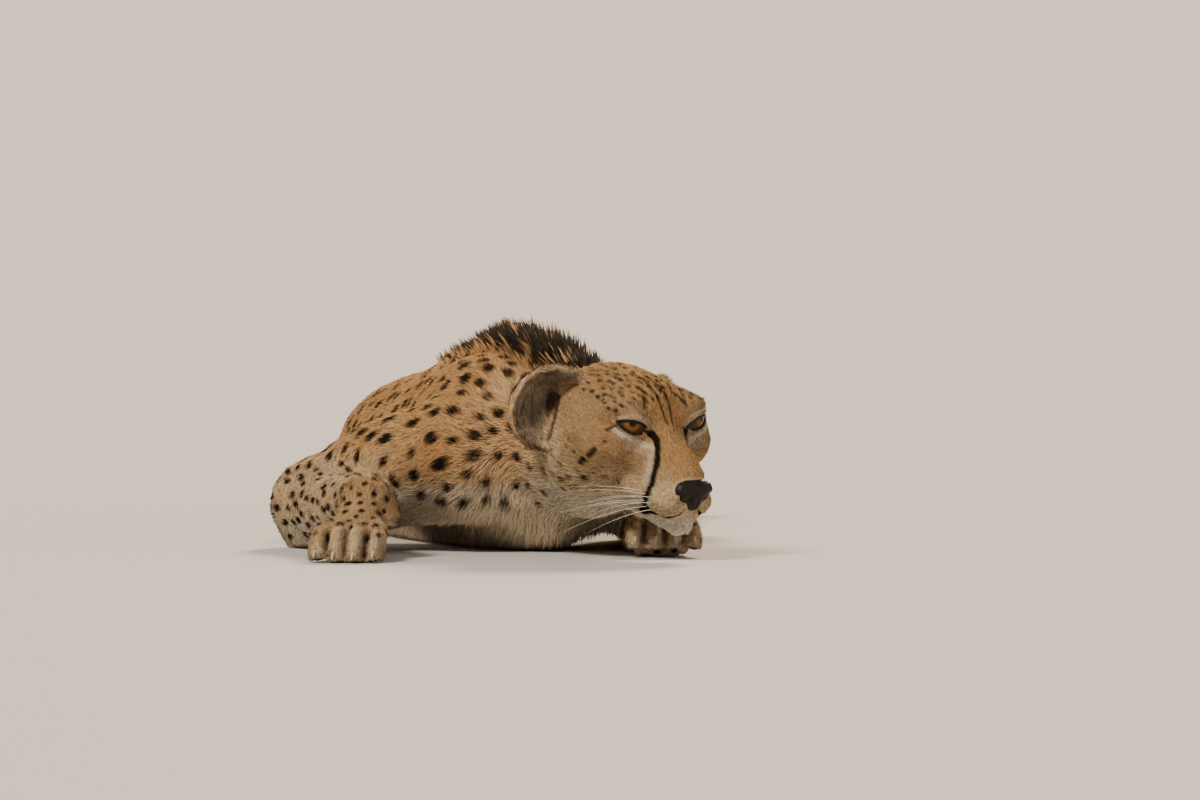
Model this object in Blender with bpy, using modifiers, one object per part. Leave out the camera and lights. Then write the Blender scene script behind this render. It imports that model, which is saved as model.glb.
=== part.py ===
"""A life-size cheetah lying on flat ground with its chin on its left forepaw.

The flesh is described by smooth forms: ellipsoids and swept tubes that blend into
each other.  A voxel remesh of their rough volumes gives a closed surface, which is
drawn onto the blended form, thinned out, and parted into named body parts by thin
cuts.  Metres, +Z up, +X towards the side that the face looks to, +Y to the
animal's left, and the floor at z = 0.
"""

from dataclasses import dataclass
from math import cos, pi, radians, sin

import bmesh
import bpy
import numpy as np
from mathutils import Matrix, Vector

MM = 0.001
GAP = 0.0004              # left around the eyes and the nose
CLEARANCE = 0.001         # left between the core and what lies against it
CUT_WIDTH = 0.0005        # width of the cuts that part the body
DENSE_WEIGHT = 0.012      # how firmly the dense places keep their triangles

# ---------------------------------------------------------------- smooth forms


def stretched_distance(local, radii):
    """Approximate signed distance to an ellipsoid at the origin, or to one of many."""
    outer = np.linalg.norm(local / radii, axis=1) + 1e-9
    inner = np.linalg.norm(local / radii**2, axis=1) + 1e-9
    return outer * (outer - 1.0) / inner


@dataclass
class Ellipsoid:
    """An ellipsoid with its own axes, the columns of a 3x3 matrix."""

    centre: tuple
    radii: tuple
    axes: np.ndarray = None

    def samples(self):
        """Centre, axes and radii of the rough volumes that cover the form."""
        axes = np.eye(3) if self.axes is None else self.axes
        return [(np.array(self.centre, float), axes, np.array(self.radii, float))]

    def distance(self, points):
        """Approximate signed distance of each point, negative inside."""
        centre, axes, radii = self.samples()[0]
        return stretched_distance((points - centre) @ axes, radii)


@dataclass
class Sweep:
    """An elliptic tube through stations (x, y, z, half width, half height, roll in degrees)."""

    stations: list
    steps: int = 3

    def samples(self):
        """Centre, axes (side, up, along) and radii at closely spaced places on the tube."""
        control = np.array([s if len(s) == 6 else (*s, 0.0) for s in self.stations], float)
        padded = np.vstack([2 * control[0] - control[1], control, 2 * control[-1] - control[-2]])
        rows = []
        for i in range(1, len(padded) - 2):
            before, start, end, after = padded[i - 1 : i + 3]
            for t in np.arange(self.steps) / self.steps:
                rows.append(
                    0.5 * (2 * start + (end - before) * t
                           + (2 * before - 5 * start + 4 * end - after) * t**2
                           + (3 * start - 3 * end + after - before) * t**3)
                )
        rows = np.array(rows + [padded[-2]])
        along = np.gradient(rows[:, :3], axis=0)
        along /= np.linalg.norm(along, axis=1)[:, None]
        made = []
        for row, direction in zip(rows, along):
            side = np.cross((0.0, 0.0, 1.0), direction)
            side /= np.linalg.norm(side)
            up = np.cross(direction, side)
            turn = radians(row[5])
            turned_side = side * cos(turn) + up * sin(turn)
            axes = np.stack([turned_side, np.cross(direction, turned_side), direction], axis=1)
            width, height = row[3:5]
            made.append((row[:3], axes, np.array([width, height, min(width, height)])))
        return made

    def distance(self, points):
        """Approximate signed distance to the nearest stretch of the tube."""
        samples = self.samples()
        thickest = max(radii.max() for _, _, radii in samples)
        best = np.full(len(points), 2.0 * thickest)
        for (start, axes, radii), (end, _, end_radii) in zip(samples[:-1], samples[1:]):
            span = end - start
            middle, reach = start + span / 2, np.linalg.norm(span) / 2 + 2.5 * thickest
            near = np.flatnonzero(((points - middle) ** 2).sum(axis=1) < reach**2)
            share = np.clip((points[near] - start) @ span / (span @ span), 0.0, 1.0)[:, None]
            local = (points[near] - start - share * span) @ axes
            size = radii + share * (end_radii - radii)
            best[near] = np.minimum(best[near], stretched_distance(local, size))
        return best


def soft_union(first, second, softness):
    """The lower of two distances, rounded off where they are within the softness."""
    mix = np.clip(0.5 + 0.5 * (second - first) / softness, 0.0, 1.0)
    return second + (first - second) * mix - softness * mix * (1.0 - mix)


class Flesh:
    """Forms blended one after another, perhaps in a local frame that mirrors left to right."""

    def __init__(self, place=None, mirrored=False):
        self.place = np.eye(4) if place is None else np.array(place)
        self.mirrored = mirrored
        self.layers = []

    def add(self, form, softness):
        """Blend one more form, or another Flesh, into this one."""
        self.layers.append((form, softness))
        return self

    def distance(self, points):
        """Approximate signed distance of world points, negative inside the flesh."""
        unit = np.linalg.norm(self.place[:3, 0])
        local = (points - self.place[:3, 3]) @ self.place[:3, :3] / unit**2
        if self.mirrored:
            local = np.column_stack([local[:, 0], np.sqrt(local[:, 1] ** 2 + 1.0), local[:, 2]])
        found = None
        for form, softness in self.layers:
            near = form.distance(local)
            found = near if found is None else soft_union(found, near, softness)
        return found * unit

    def samples(self):
        """The rough volumes of every form, in world space."""
        made = []
        for form, _ in self.layers:
            for centre, axes, radii in form.samples():
                sides = (1, -1) if self.mirrored and centre[1] > 0 else (1,)
                for side in sides:
                    flip = np.diag([1.0, side, 1.0])
                    unit = np.linalg.norm(self.place[:3, 0])
                    rotation = self.place[:3, :3] / unit
                    where = self.place[:3, :3] @ (flip @ centre) + self.place[:3, 3]
                    made.append((where, rotation @ flip @ axes, radii * unit))
        return made

    def onto_surface(self, points, rounds=3):
        """Move points along the slope of the distance until they lie on the surface."""
        step = 0.0005
        for _ in range(rounds):
            here = self.distance(points)
            slope = np.stack(
                [self.distance(points + step * axis) - here for axis in np.eye(3)], axis=1
            ) / step
            steep = np.maximum((slope**2).sum(axis=1), 0.2)
            points = points - np.clip(here / steep, -0.006, 0.006)[:, None] * slope
        return points


# ---------------------------------------------------------------- the pose

def frame_of(origin, forward, roll=0.0, unit=MM):
    """A local frame in millimetres: x forward, y left, z up."""
    forward = Vector(forward).normalized()
    left = Vector((0, 0, 1)).cross(forward).normalized()
    up = forward.cross(left)
    turned_left = left * cos(roll) + up * sin(roll)
    turned_up = forward.cross(turned_left)
    matrix = Matrix((forward, turned_left, turned_up)).transposed() * unit
    return Matrix.Translation(origin) @ matrix.to_4x4()


def heading(yaw, pitch_down):
    """The direction with this yaw from +X towards +Y, tilted down, both in degrees."""
    yaw, pitch = radians(yaw), radians(pitch_down)
    return Vector((cos(yaw) * cos(pitch), sin(yaw) * cos(pitch), -sin(pitch)))


# The head: its middle lies between the ears, and the mouth line is level in its frame.
HEAD = frame_of((-0.052, 0.020, 0.123), heading(37, 17), radians(2.5))
EYE_CENTRE, EYE_RADIUS = (52, 32, 21), 17
EYE_AXIS = Vector((0.86, 0.48, 0.12)).normalized()
EAR_MIDDLE = (-20, 50, 3)                   # middle of the ear's base
EAR_ALONG = Vector((-0.14, 0.39, -0.91)).normalized()
EAR_OUT = Vector((-0.48, 0.78, 0.40)).normalized()

NECK_AND_TRUNK = [
    # x, y, z, half width, half height
    (-0.088, -0.004, 0.118, 0.052, 0.052),
    (-0.140, -0.034, 0.104, 0.062, 0.068),
    (-0.205, -0.062, 0.094, 0.076, 0.088),
    (-0.280, -0.088, 0.091, 0.088, 0.094),
    (-0.375, -0.112, 0.085, 0.096, 0.088),
    (-0.475, -0.138, 0.079, 0.098, 0.082),
    (-0.575, -0.153, 0.075, 0.098, 0.078),
    (-0.670, -0.152, 0.071, 0.084, 0.072),
    (-0.760, -0.140, 0.070, 0.076, 0.071),
    (-0.850, -0.122, 0.075, 0.080, 0.077),
    (-0.930, -0.104, 0.070, 0.068, 0.066),
    (-0.985, -0.091, 0.062, 0.044, 0.048),
]
MANE = [
    (-0.115, -0.004, 0.146, 0.022, 0.030),
    (-0.175, -0.040, 0.160, 0.025, 0.041),
    (-0.240, -0.075, 0.166, 0.028, 0.045),
    (-0.310, -0.100, 0.154, 0.032, 0.040),
    (-0.390, -0.118, 0.138, 0.036, 0.030),
]
TAIL = [
    (-0.970, -0.094, 0.072, 0.032, 0.034),
    (-1.045, -0.102, 0.046, 0.026, 0.026),
    (-1.120, -0.140, 0.024, 0.022, 0.022),
    (-1.190, -0.185, 0.021, 0.021, 0.021),
    (-1.270, -0.195, 0.020, 0.020, 0.020),
    (-1.335, -0.150, 0.020, 0.020, 0.020),
    (-1.362, -0.075, 0.021, 0.021, 0.021),
    (-1.360, 0.015, 0.022, 0.022, 0.022),
]
FORELEG = {
    "right": {
        "shoulder": (-0.155, -0.126, 0.088), "elbow": (-0.252, -0.266, 0.040),
        "wrist": (-0.052, -0.212, 0.049), "toes": heading(-10, 17), "roll": 0,
    },
    "left": {
        "shoulder": (-0.205, 0.002, 0.084), "elbow": (-0.405, 0.044, 0.043),
        "wrist": (-0.160, 0.052, 0.030), "toes": heading(4, 3), "roll": 0,
    },
}
HIND_LEG = {
    "left": {
        "hip": (-0.865, -0.118, 0.098), "knee": (-0.610, -0.028, 0.103),
        "hock": (-0.835, 0.048, 0.080), "toes": heading(3, 17), "roll": -10,
    },
    "right": {
        "hip": (-0.880, -0.095, 0.045), "knee": (-0.760, -0.070, 0.034),
        "hock": (-1.020, 0.010, 0.028), "toes": heading(12, 1), "roll": -30,
    },
}


def head_flesh():
    """The head without ears, eyes and nose leather, in millimetres in its own frame."""
    flesh = Flesh(HEAD, mirrored=True)
    flesh.add(Ellipsoid((-6, 0, 7), (60, 58, 47)), 1)                        # braincase
    flesh.add(Ellipsoid((30, 0, 22), (38, 50, 31)), 16)                      # forehead
    flesh.add(Ellipsoid((44, 34, 31), (19, 24, 12)), 10)                     # brow
    flesh.add(Ellipsoid(EYE_CENTRE, (20, 20, 20)), 9)                        # lids
    flesh.add(Ellipsoid((28, 42, -5), (43, 28, 28)), 14)                     # cheekbone
    flesh.add(Ellipsoid((0, 38, -30), (40, 32, 35)), 16)                     # jaw muscle
    flesh.add(Sweep([(44, 0, -8, 42, 27), (80, 0, -17, 31, 23), (109, 0, -28, 22, 16)]), 14)
    flesh.add(Sweep([(46, 0, 22, 18, 15), (82, 0, 6, 15, 11), (114, 0, -12, 15, 8)]), 10)
    flesh.add(Ellipsoid((101, 15, -39), (23, 17, 15)), 8)                     # whisker pad
    flesh.add(Ellipsoid((66, 20, -36), (32, 19, 19)), 10)                    # cheek behind the lips
    flesh.add(Sweep([(12, 0, -44, 42, 24), (66, 0, -52, 29, 17), (106, 0, -59, 17, 14)]), 9)
    return flesh


def core_flesh():
    """Neck, ribs, loins and rump with the head, the tail and the upper parts of the legs."""
    flesh = Flesh()
    flesh.add(Sweep(NECK_AND_TRUNK), 0.01)
    flesh.add(Sweep(MANE), 0.02)
    for side, sign in (("right", -1), ("left", 1)):
        shoulder = Vector(FORELEG[side]["shoulder"])
        blade = shoulder.lerp(Vector((-0.290, -0.094 + sign * 0.030, 0.140)), 0.5)
        flesh.add(Ellipsoid(tuple(blade), (0.098, 0.036, 0.056), turned(22, 24)), 0.03)
    flesh.add(Ellipsoid((-0.860, -0.112, 0.086), (0.088, 0.070, 0.062), turned(-12, 0)), 0.04)
    flesh.add(Sweep(TAIL), 0.02)
    flesh.add(foreleg_flesh("right"), 0.03)
    flesh.add(foreleg_flesh("left", paw=False), 0.025)
    flesh.add(hind_leg_flesh("left"), 0.025)
    flesh.add(Ellipsoid((-0.082, -0.006, 0.082), (0.066, 0.050, 0.050), turned(37, 0)), 0.02)
    flesh.add(head_flesh(), 0.016)
    return flesh


def turned(yaw, pitch):
    """Axes of a form that points along a yaw, with its nose pitched up, in degrees."""
    return np.array(Matrix.Rotation(radians(yaw), 3, "Z") @ Matrix.Rotation(radians(-pitch), 3, "Y"))


TOE_LANES = (-1.5, -0.5, 0.5, 1.5)


def toe_places(reach, spread, width):
    """Knuckle and tip of each of the four toes in the frame of a foot, in millimetres."""
    places = []
    for lane in TOE_LANES:
        length = reach - 5.0 * (abs(lane) - 0.5)
        across = lane * width
        places.append(((length - 26, across, 2), (length, across + lane * spread, -9)))
    return places


def foot_flesh(frame, reach, back, width, girth):
    """A forepaw or a hind foot: instep, pad and four toes, pointing along x."""
    flesh = Flesh(frame)
    flesh.add(Sweep([(0, 0, 0, girth, girth * 0.92), (back, 0, -4, width * 1.45, girth * 0.8),
                     (reach - 36, 0, -8, width * 1.95, girth * 0.62)], 7), 1)
    flesh.add(Ellipsoid((reach - 42, 0, -17), (23, width * 1.55, 12)), 6)
    for knuckle, tip in toe_places(reach, 2.0, width):
        toe = [(knuckle[0] - 18, knuckle[1] * 0.92, -4, 10, 11), (*knuckle, 10, 12), (*tip, 9, 10)]
        flesh.add(Sweep(toe, 3), 3)
    return flesh


def foreleg_flesh(side, paw=True):
    """Upper arm and forearm of one foreleg, with or without its paw."""
    leg = FORELEG[side]
    shoulder, elbow, wrist = (Vector(leg[k]) for k in ("shoulder", "elbow", "wrist"))
    flesh = Flesh()
    upper = shoulder.lerp(elbow, 0.5) + Vector((0, 0, 0.008))
    flesh.add(Sweep([(*shoulder, 0.054, 0.058), (*upper, 0.049, 0.052), (*elbow, 0.036, 0.039)]), 0.01)
    middle = elbow.lerp(wrist, 0.4) + Vector((0, 0, -0.002))
    flesh.add(Sweep([(*elbow, 0.036, 0.039), (*middle, 0.033, 0.034), (*wrist, 0.027, 0.027)]), 0.02)
    if paw:
        flesh.add(forepaw_flesh(side), 0.012)
    return flesh


def forepaw_flesh(side):
    """One forepaw with its dewclaw's pad on the inner side."""
    frame = forepaw_frame(side)
    flesh = foot_flesh(frame, 112, 30, 16.0, 26)
    inner = 1 if side == "right" else -1
    flesh.add(Sweep([(6, inner * 20, -4, 11, 10), (22, inner * 25, -8, 8, 9)]), 5)
    return flesh


def forepaw_frame(side):
    """The frame of a forepaw, from its wrist along its toes."""
    leg = FORELEG[side]
    return frame_of(leg["wrist"], leg["toes"], radians(leg["roll"]))


def hind_leg_flesh(side):
    """Thigh, shank and long foot of one hind leg."""
    leg = HIND_LEG[side]
    hip, knee, hock = (Vector(leg[k]) for k in ("hip", "knee", "hock"))
    flesh = Flesh()
    thigh = hip.lerp(knee, 0.55)
    depth = 0.056 if side == "left" else 0.040
    flesh.add(Sweep([(*hip, 0.066, 0.050), (*thigh, 0.062, depth), (*knee, 0.044, 0.036)]), 0.01)
    calf = knee.lerp(hock, 0.35)
    flesh.add(Sweep([(*knee, 0.042, 0.036), (*calf, 0.035, 0.033), (*hock, 0.021, 0.025)]), 0.02)
    flesh.add(foot_flesh(hind_foot_frame(side), 222, 70, 13.0, 21), 0.012)
    return flesh


def hind_foot_frame(side):
    """The frame of a hind foot, from its hock along its toes."""
    leg = HIND_LEG[side]
    return frame_of(leg["hock"], leg["toes"], radians(leg["roll"]))


# ---------------------------------------------------------------- mesh helpers

def new_object(name, mesh, collection):
    """Link a new object that shows this mesh."""
    obj = bpy.data.objects.new(name, mesh)
    collection.objects.link(obj)
    return obj


def evaluated_copy(obj):
    """A plain mesh of the object as its modifiers leave it."""
    graph = bpy.context.evaluated_depsgraph_get()
    return bpy.data.meshes.new_from_object(obj.evaluated_get(graph))


def apply_modifiers(obj):
    """Bake an object's modifiers into its mesh."""
    bpy.context.view_layer.update()
    mesh = evaluated_copy(obj)
    obj.modifiers.clear()
    obj.data = mesh


def read_points(mesh):
    """Vertex positions as an array."""
    points = np.empty(len(mesh.vertices) * 3, np.float32)
    mesh.vertices.foreach_get("co", points)
    return points.reshape(-1, 3).astype(float)


def write_points(mesh, points):
    """Store vertex positions."""
    mesh.vertices.foreach_set("co", points.astype(np.float32).ravel())
    mesh.update()


def rough_volume(name, samples, collection):
    """Overlapping spheres, stretched to each sample's radii."""
    shape = bmesh.new()
    for centre, axes, radii in samples:
        matrix = Matrix.Translation(centre) @ Matrix((axes * radii).tolist()).to_4x4()
        bmesh.ops.create_uvsphere(shape, u_segments=16, v_segments=10, radius=1.0, matrix=matrix)
    bmesh.ops.recalc_face_normals(shape, faces=shape.faces)
    mesh = bpy.data.meshes.new(name)
    shape.to_mesh(mesh)
    shape.free()
    return new_object(name, mesh, collection)


def flesh_object(name, flesh, voxel, triangles, collection, dense):
    """A closed, thinned-out mesh of the flesh, pressed flat where it meets the floor."""
    obj = rough_volume(name, flesh.samples(), collection)
    remesh = obj.modifiers.new("remesh", "REMESH")
    remesh.mode = "VOXEL"
    remesh.voxel_size = voxel
    smooth = obj.modifiers.new("smooth", "SMOOTH")
    smooth.iterations = 3
    apply_modifiers(obj)
    points = flesh.onto_surface(read_points(obj.data))
    points[:, 2] = np.maximum(points[:, 2], 0.0)
    write_points(obj.data, points)
    thin_out(obj, points, triangles, dense)
    points = read_points(obj.data)
    points[points[:, 2] < 0.0004, 2] = 0.0
    write_points(obj.data, points)
    return obj


def thin_out(obj, points, triangles, dense):
    """Collapse edges down to a number of triangles, but keep more of them in the dense places."""
    triangulate = obj.modifiers.new("triangulate", "TRIANGULATE")
    triangulate.quad_method = "BEAUTY"
    apply_modifiers(obj)
    thin = obj.modifiers.new("thin", "DECIMATE")
    thin.ratio = triangles / len(obj.data.polygons)
    near = np.zeros(len(points), bool)
    for centre, reach in dense:
        near |= np.linalg.norm(points - np.array(centre), axis=1) < reach
    group = obj.vertex_groups.new(name="coarse")
    group.add(np.flatnonzero(~near).tolist(), 1.0, "REPLACE")
    group.add(np.flatnonzero(near).tolist(), 0.5, "REPLACE")
    thin.vertex_group = "coarse"
    thin.vertex_group_factor = DENSE_WEIGHT
    apply_modifiers(obj)
    obj.vertex_groups.clear()


def subtract(obj, cutter):
    """Cut one object by another and keep the result as its mesh."""
    boolean = obj.modifiers.new("cut", "BOOLEAN")
    boolean.operation = "DIFFERENCE"
    boolean.solver = "EXACT"
    boolean.object = cutter
    apply_modifiers(obj)


def hide_cutter(obj):
    """Keep a cutter or guide out of the finished model."""
    obj.hide_render = True
    obj.display_type = "WIRE"


def swollen(obj, by, collection):
    """A hidden copy of the object, grown outwards by a small gap."""
    copy = new_object(f"{obj.name}_grown_by_{by / MM:.1f}", obj.data.copy(), collection)
    grow = copy.modifiers.new("grow", "DISPLACE")
    grow.strength = by
    grow.mid_level = 0.0
    apply_modifiers(copy)
    hide_cutter(copy)
    return copy


def cut_disc(name, cut, collection):
    """A thin round plate with this centre, normal and radius."""
    centre, normal, radius = cut
    turn = Vector(normal).to_track_quat("Z", "Y").to_matrix().to_4x4()
    shape = bmesh.new()
    bmesh.ops.create_cone(
        shape, cap_ends=True, segments=28, radius1=radius, radius2=radius,
        depth=CUT_WIDTH, matrix=Matrix.Translation(centre) @ turn,
    )
    mesh = bpy.data.meshes.new(name)
    shape.to_mesh(mesh)
    shape.free()
    obj = new_object(name, mesh, collection)
    hide_cutter(obj)
    return obj


def loose_pieces(shape):
    """The connected pieces of a bmesh, each as a set of its vertices."""
    left = set(shape.verts)
    pieces = []
    while left:
        stack = [left.pop()]
        piece = set(stack)
        while stack:
            for edge in stack.pop().link_edges:
                for vert in edge.verts:
                    if vert not in piece:
                        piece.add(vert)
                        stack.append(vert)
        left -= piece
        pieces.append(piece)
    return pieces


def sever(obj, name, cut, collection, helpers):
    """Cut an object by a thin disc and return what lies beyond it as an object of its own."""
    centre, normal = Vector(cut[0]), Vector(cut[1])
    subtract(obj, cut_disc(name + "_cut", cut, helpers))
    meshes = []
    for side in (1, -1):
        shape = bmesh.new()
        shape.from_mesh(obj.data)
        pieces = sorted(loose_pieces(shape), key=len, reverse=True)[:2]
        if len(pieces) < 2:
            raise ValueError(f"{name} is still joined to {obj.name}")
        ahead = [side * sum((v.co - centre).dot(normal) for v in p) / len(p) for p in pieces]
        keep = pieces[0] if ahead[0] > ahead[1] else pieces[1]
        spare = [v for v in shape.verts if v not in keep]
        bmesh.ops.delete(shape, geom=spare, context="VERTS")
        mesh = bpy.data.meshes.new(name if side == 1 else obj.name)
        shape.to_mesh(mesh)
        shape.free()
        meshes.append(mesh)
    obj.data = meshes[1]
    return new_object(name, meshes[0], collection)


# ---------------------------------------------------------------- small solids

def head_point(x, y, z):
    """A point given in millimetres in the head's frame."""
    return HEAD @ Vector((x, y, z))


def head_direction(vector):
    """A direction given in the head's frame."""
    return (HEAD.to_3x3() @ Vector(vector)).normalized()


def ball(name, centre, radii, axes, collection, segments=20):
    """A closed ellipsoid with the given axes, the columns of a matrix."""
    shape = bmesh.new()
    matrix = Matrix.Translation(centre) @ axes.to_4x4() @ Matrix.Diagonal((*radii, 1.0))
    bmesh.ops.create_uvsphere(
        shape, u_segments=segments, v_segments=segments // 2, radius=1.0, matrix=matrix
    )
    bmesh.ops.recalc_face_normals(shape, faces=shape.faces)
    mesh = bpy.data.meshes.new(name)
    shape.to_mesh(mesh)
    shape.free()
    return new_object(name, mesh, collection)


def axes_from(main, across):
    """A rotation whose x axis is main and whose y axis lies nearest to across."""
    main = Vector(main).normalized()
    third = main.cross(Vector(across)).normalized()
    return Matrix((main, third.cross(main), third)).transposed()


def mirrored_y(vector, sign):
    """The vector on the left side, or its mirror image on the right."""
    return Vector((vector[0], sign * vector[1], vector[2]))


def make_eye(side, sign, collection, helpers, head):
    """An eyeball in its socket, behind an almond-shaped opening of the lids."""
    centre = head_point(*mirrored_y(EYE_CENTRE, sign))
    axis = head_direction(mirrored_y(EYE_AXIS, sign))
    axes = axes_from(axis, head_direction((-0.5, sign, 0.05)))
    radius = EYE_RADIUS * MM
    eye = ball(f"eye_{side}", centre, (radius,) * 3, axes, collection, 14)
    socket = ball(f"socket_{side}", centre, (radius + GAP,) * 3, axes, helpers, 20)
    opening = ball(
        f"lids_{side}", centre + axis * radius * 1.1, (0.016, 0.0145, 0.0085), axes, helpers, 16
    )
    for cutter in (socket, opening):
        hide_cutter(cutter)
        subtract(head, cutter)
    return eye


def make_nose(collection, helpers, head):
    """The nose leather, let into the front of the muzzle."""
    axes = HEAD.to_3x3().normalized()
    sizes = ((120, 0, -22), (9.0, 21, 9.5)), ((122, 0, -32), (6.5, 8, 11))
    nose = None
    for grow, name, where in ((0.0, "nose", collection), (GAP, "nose_bed", helpers)):
        upper, lower = (
            ball(f"{name}_{i}", head_point(*centre), [r * MM + grow for r in radii], axes, helpers, 12)
            for i, (centre, radii) in enumerate(sizes)
        )
        join = upper.modifiers.new("join", "BOOLEAN")
        join.operation = "UNION"
        join.solver = "EXACT"
        join.object = lower
        apply_modifiers(upper)
        solid = new_object(name, upper.data.copy(), where)
        for rough in (upper, lower):
            bpy.data.objects.remove(rough)
        if where is helpers:
            hide_cutter(solid)
            subtract(head, solid)
        else:
            nose = solid
    return nose


def make_ear(side, sign, collection, helpers, head_grown):
    """A cupped ear: a rounded shell that opens forwards, set low on the side of the head."""
    along = head_direction(mirrored_y(EAR_ALONG, sign))
    out = head_direction(mirrored_y(EAR_OUT, sign))
    axes = axes_from(out, along)
    facing = axes.col[2] if axes.col[2].dot(head_direction((1, 0, 0))) > 0 else -axes.col[2]
    middle = head_point(*mirrored_y(EAR_MIDDLE, sign)) + out * 0.012
    ear = ball(f"ear_{side}", middle, (0.041, 0.042, 0.020), axes, collection, 14)
    hollow = ball(
        f"ear_hollow_{side}", middle + facing * 0.011, (0.0365, 0.0375, 0.0215), axes, helpers, 14
    )
    hide_cutter(hollow)
    for cutter in (hollow, *head_grown):
        subtract(ear, cutter)
    return ear


CLAW_BEND = 0.8


def make_claw(name, frame, tip, length, girth, collection, helpers, paw):
    """A short curved claw at the end of a toe, in a socket of its own."""
    solids = []
    for grow, where in ((0.0, collection), (0.35, helpers)):
        rings = 4
        shape = bmesh.new()
        before = None
        for i in range(rings):
            share = i / (rings - 1)
            angle = share * CLAW_BEND
            bend = length / CLAW_BEND
            centre = Vector((tip[0] - 2 - grow + bend * sin(angle) + grow * 2 * share,
                             tip[1], tip[2] - bend * (1 - cos(angle))))
            radius = girth * (1.0 - 0.85 * share) + grow
            turn = Matrix.Rotation(angle + pi / 2, 4, "Y")
            ring = bmesh.ops.create_circle(
                shape, cap_ends=i in (0, rings - 1), segments=6, radius=radius,
                matrix=frame @ Matrix.Translation(centre) @ turn,
            )["verts"]
            edges = [e for e in shape.edges if e.verts[0] in ring and e.verts[1] in ring]
            if before:
                bmesh.ops.bridge_loops(shape, edges=before + edges)
            before = edges
        bmesh.ops.recalc_face_normals(shape, faces=shape.faces)
        mesh = bpy.data.meshes.new(name)
        shape.to_mesh(mesh)
        shape.free()
        solids.append(new_object(name if grow == 0 else name + "_socket", mesh, where))
    hide_cutter(solids[1])
    subtract(paw, solids[1])
    return solids[0]


# ---------------------------------------------------------------- the animal

def make_materials():
    """One plain finish for each kind of surface."""
    looks = {
        "coat": ((0.62, 0.44, 0.25), 0.85), "nose_leather": ((0.03, 0.022, 0.02), 0.45),
        "eye": ((0.30, 0.13, 0.03), 0.08), "claw": ((0.55, 0.50, 0.42), 0.4),
    }
    made = {}
    for name, (colour, roughness) in looks.items():
        material = bpy.data.materials.new(name)
        material.use_nodes = True
        shader = material.node_tree.nodes["Principled BSDF"]
        shader.inputs["Base Color"].default_value = (*colour, 1.0)
        shader.inputs["Roughness"].default_value = roughness
        made[name] = material
    return made


SHOULDER_CUTS = {
    "right": ((-0.240, -0.176, 0.070), (0.30, -0.95, 0.0), 0.15),
    "left": ((-0.290, 0.012, 0.070), (-0.20, 0.98, 0.0), 0.155),
}
LEFT_HAUNCH_CUT = ((-0.760, -0.030, 0.090), (0.02, 0.95, 0.30), 0.21)
RUMP_CUT = ((-0.552, -0.152, 0.080), (-1.0, 0.0, 0.0), 0.20)
NECK_CUT = ((-0.165, -0.045, 0.105), (0.90, 0.43, 0.0), 0.20)


def bend_cut(start, bend, end, radius):
    """A disc across a bent limb, along the plane that halves the bend."""
    before, after = (Vector(bend) - Vector(start)), (Vector(end) - Vector(bend))
    before.normalize()
    after.normalize()
    return Vector(bend) + (after - before) * radius * 0.35, before + after, radius


def foreleg_cuts(side):
    """The discs at the elbow and the wrist."""
    leg = FORELEG[side]
    toes = Vector(leg["wrist"]) + leg["toes"] * 0.1
    return (bend_cut(leg["shoulder"], leg["elbow"], leg["wrist"], 0.16),
            bend_cut(leg["elbow"], leg["wrist"], toes, 0.06))


def hind_foot_cut(side):
    """The disc across a hind foot, where it has come clear of the folded shank."""
    frame = hind_foot_frame(side)
    return frame @ Vector((145, 0, -7)), HIND_LEG[side]["toes"], 0.034


def build_core(body, helpers):
    """The core, parted into head, neck, trunk, tail and legs, and grown copies of it whole."""
    dense = [(head_point(45, 0, -5), 0.115), (forepaw_frame("right") @ Vector((75, 0, 0)), 0.065),
             (hind_foot_frame("left") @ Vector((190, 0, 0)), 0.055)]
    rest = flesh_object("chest", core_flesh(), 0.005, 3100, body, dense)
    grown = [swollen(rest, by, helpers) for by in (CLEARANCE, CLEARANCE / 5)]
    made = {"chest": rest}

    def cut_off(name, source, cut):
        made[name] = sever(source, name, cut, body, helpers)
        return made[name]

    before = rest
    for name, i in (("tail_root", 1), ("tail_middle", 3), ("tail_tip", 5)):
        along = np.array(TAIL[i + 1][:3]) - np.array(TAIL[i - 1][:3])
        before = cut_off(name, before, (TAIL[i][:3], along, 0.05))
    for side in ("right", "left"):
        elbow, wrist = foreleg_cuts(side)
        paw = cut_off(f"forepaw_{side}", rest, wrist)
        arm = cut_off(f"upper_arm_{side}", rest, SHOULDER_CUTS[side])
        cut_off(f"forearm_{side}", arm, elbow)
    bpy.data.objects.remove(made.pop("forepaw_left"))
    shank = cut_off("shank_left", rest, LEFT_HAUNCH_CUT)
    cut_off("hind_foot_left", shank, hind_foot_cut("left"))
    cut_off("rump", rest, RUMP_CUT)
    neck = cut_off("neck", rest, NECK_CUT)
    cut_off("head", neck, (head_point(-52, 0, -12), head_direction((1, 0, 0)), 0.15))
    return made, grown


def build_loose_limbs(body, helpers, core_grown):
    """The left forepaw and the right hind leg, clear of the core they lie against."""
    made = {}
    toes = forepaw_frame("left") @ Vector((80, 0, 0))
    spare = flesh_object("spare", foreleg_flesh("left"), 0.005, 600, body, [(toes, 0.065)])
    made["forepaw_left"] = sever(spare, "forepaw_left", foreleg_cuts("left")[1], body, helpers)
    bpy.data.objects.remove(spare)
    toes = hind_foot_frame("right") @ Vector((190, 0, 0))
    leg = flesh_object("shank_right", hind_leg_flesh("right"), 0.005, 640, body, [(toes, 0.055)])
    for guide in core_grown:
        subtract(leg, guide)
    made["hind_foot_right"] = sever(leg, "hind_foot_right", hind_foot_cut("right"), body, helpers)
    made["shank_right"] = leg
    return made


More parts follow.
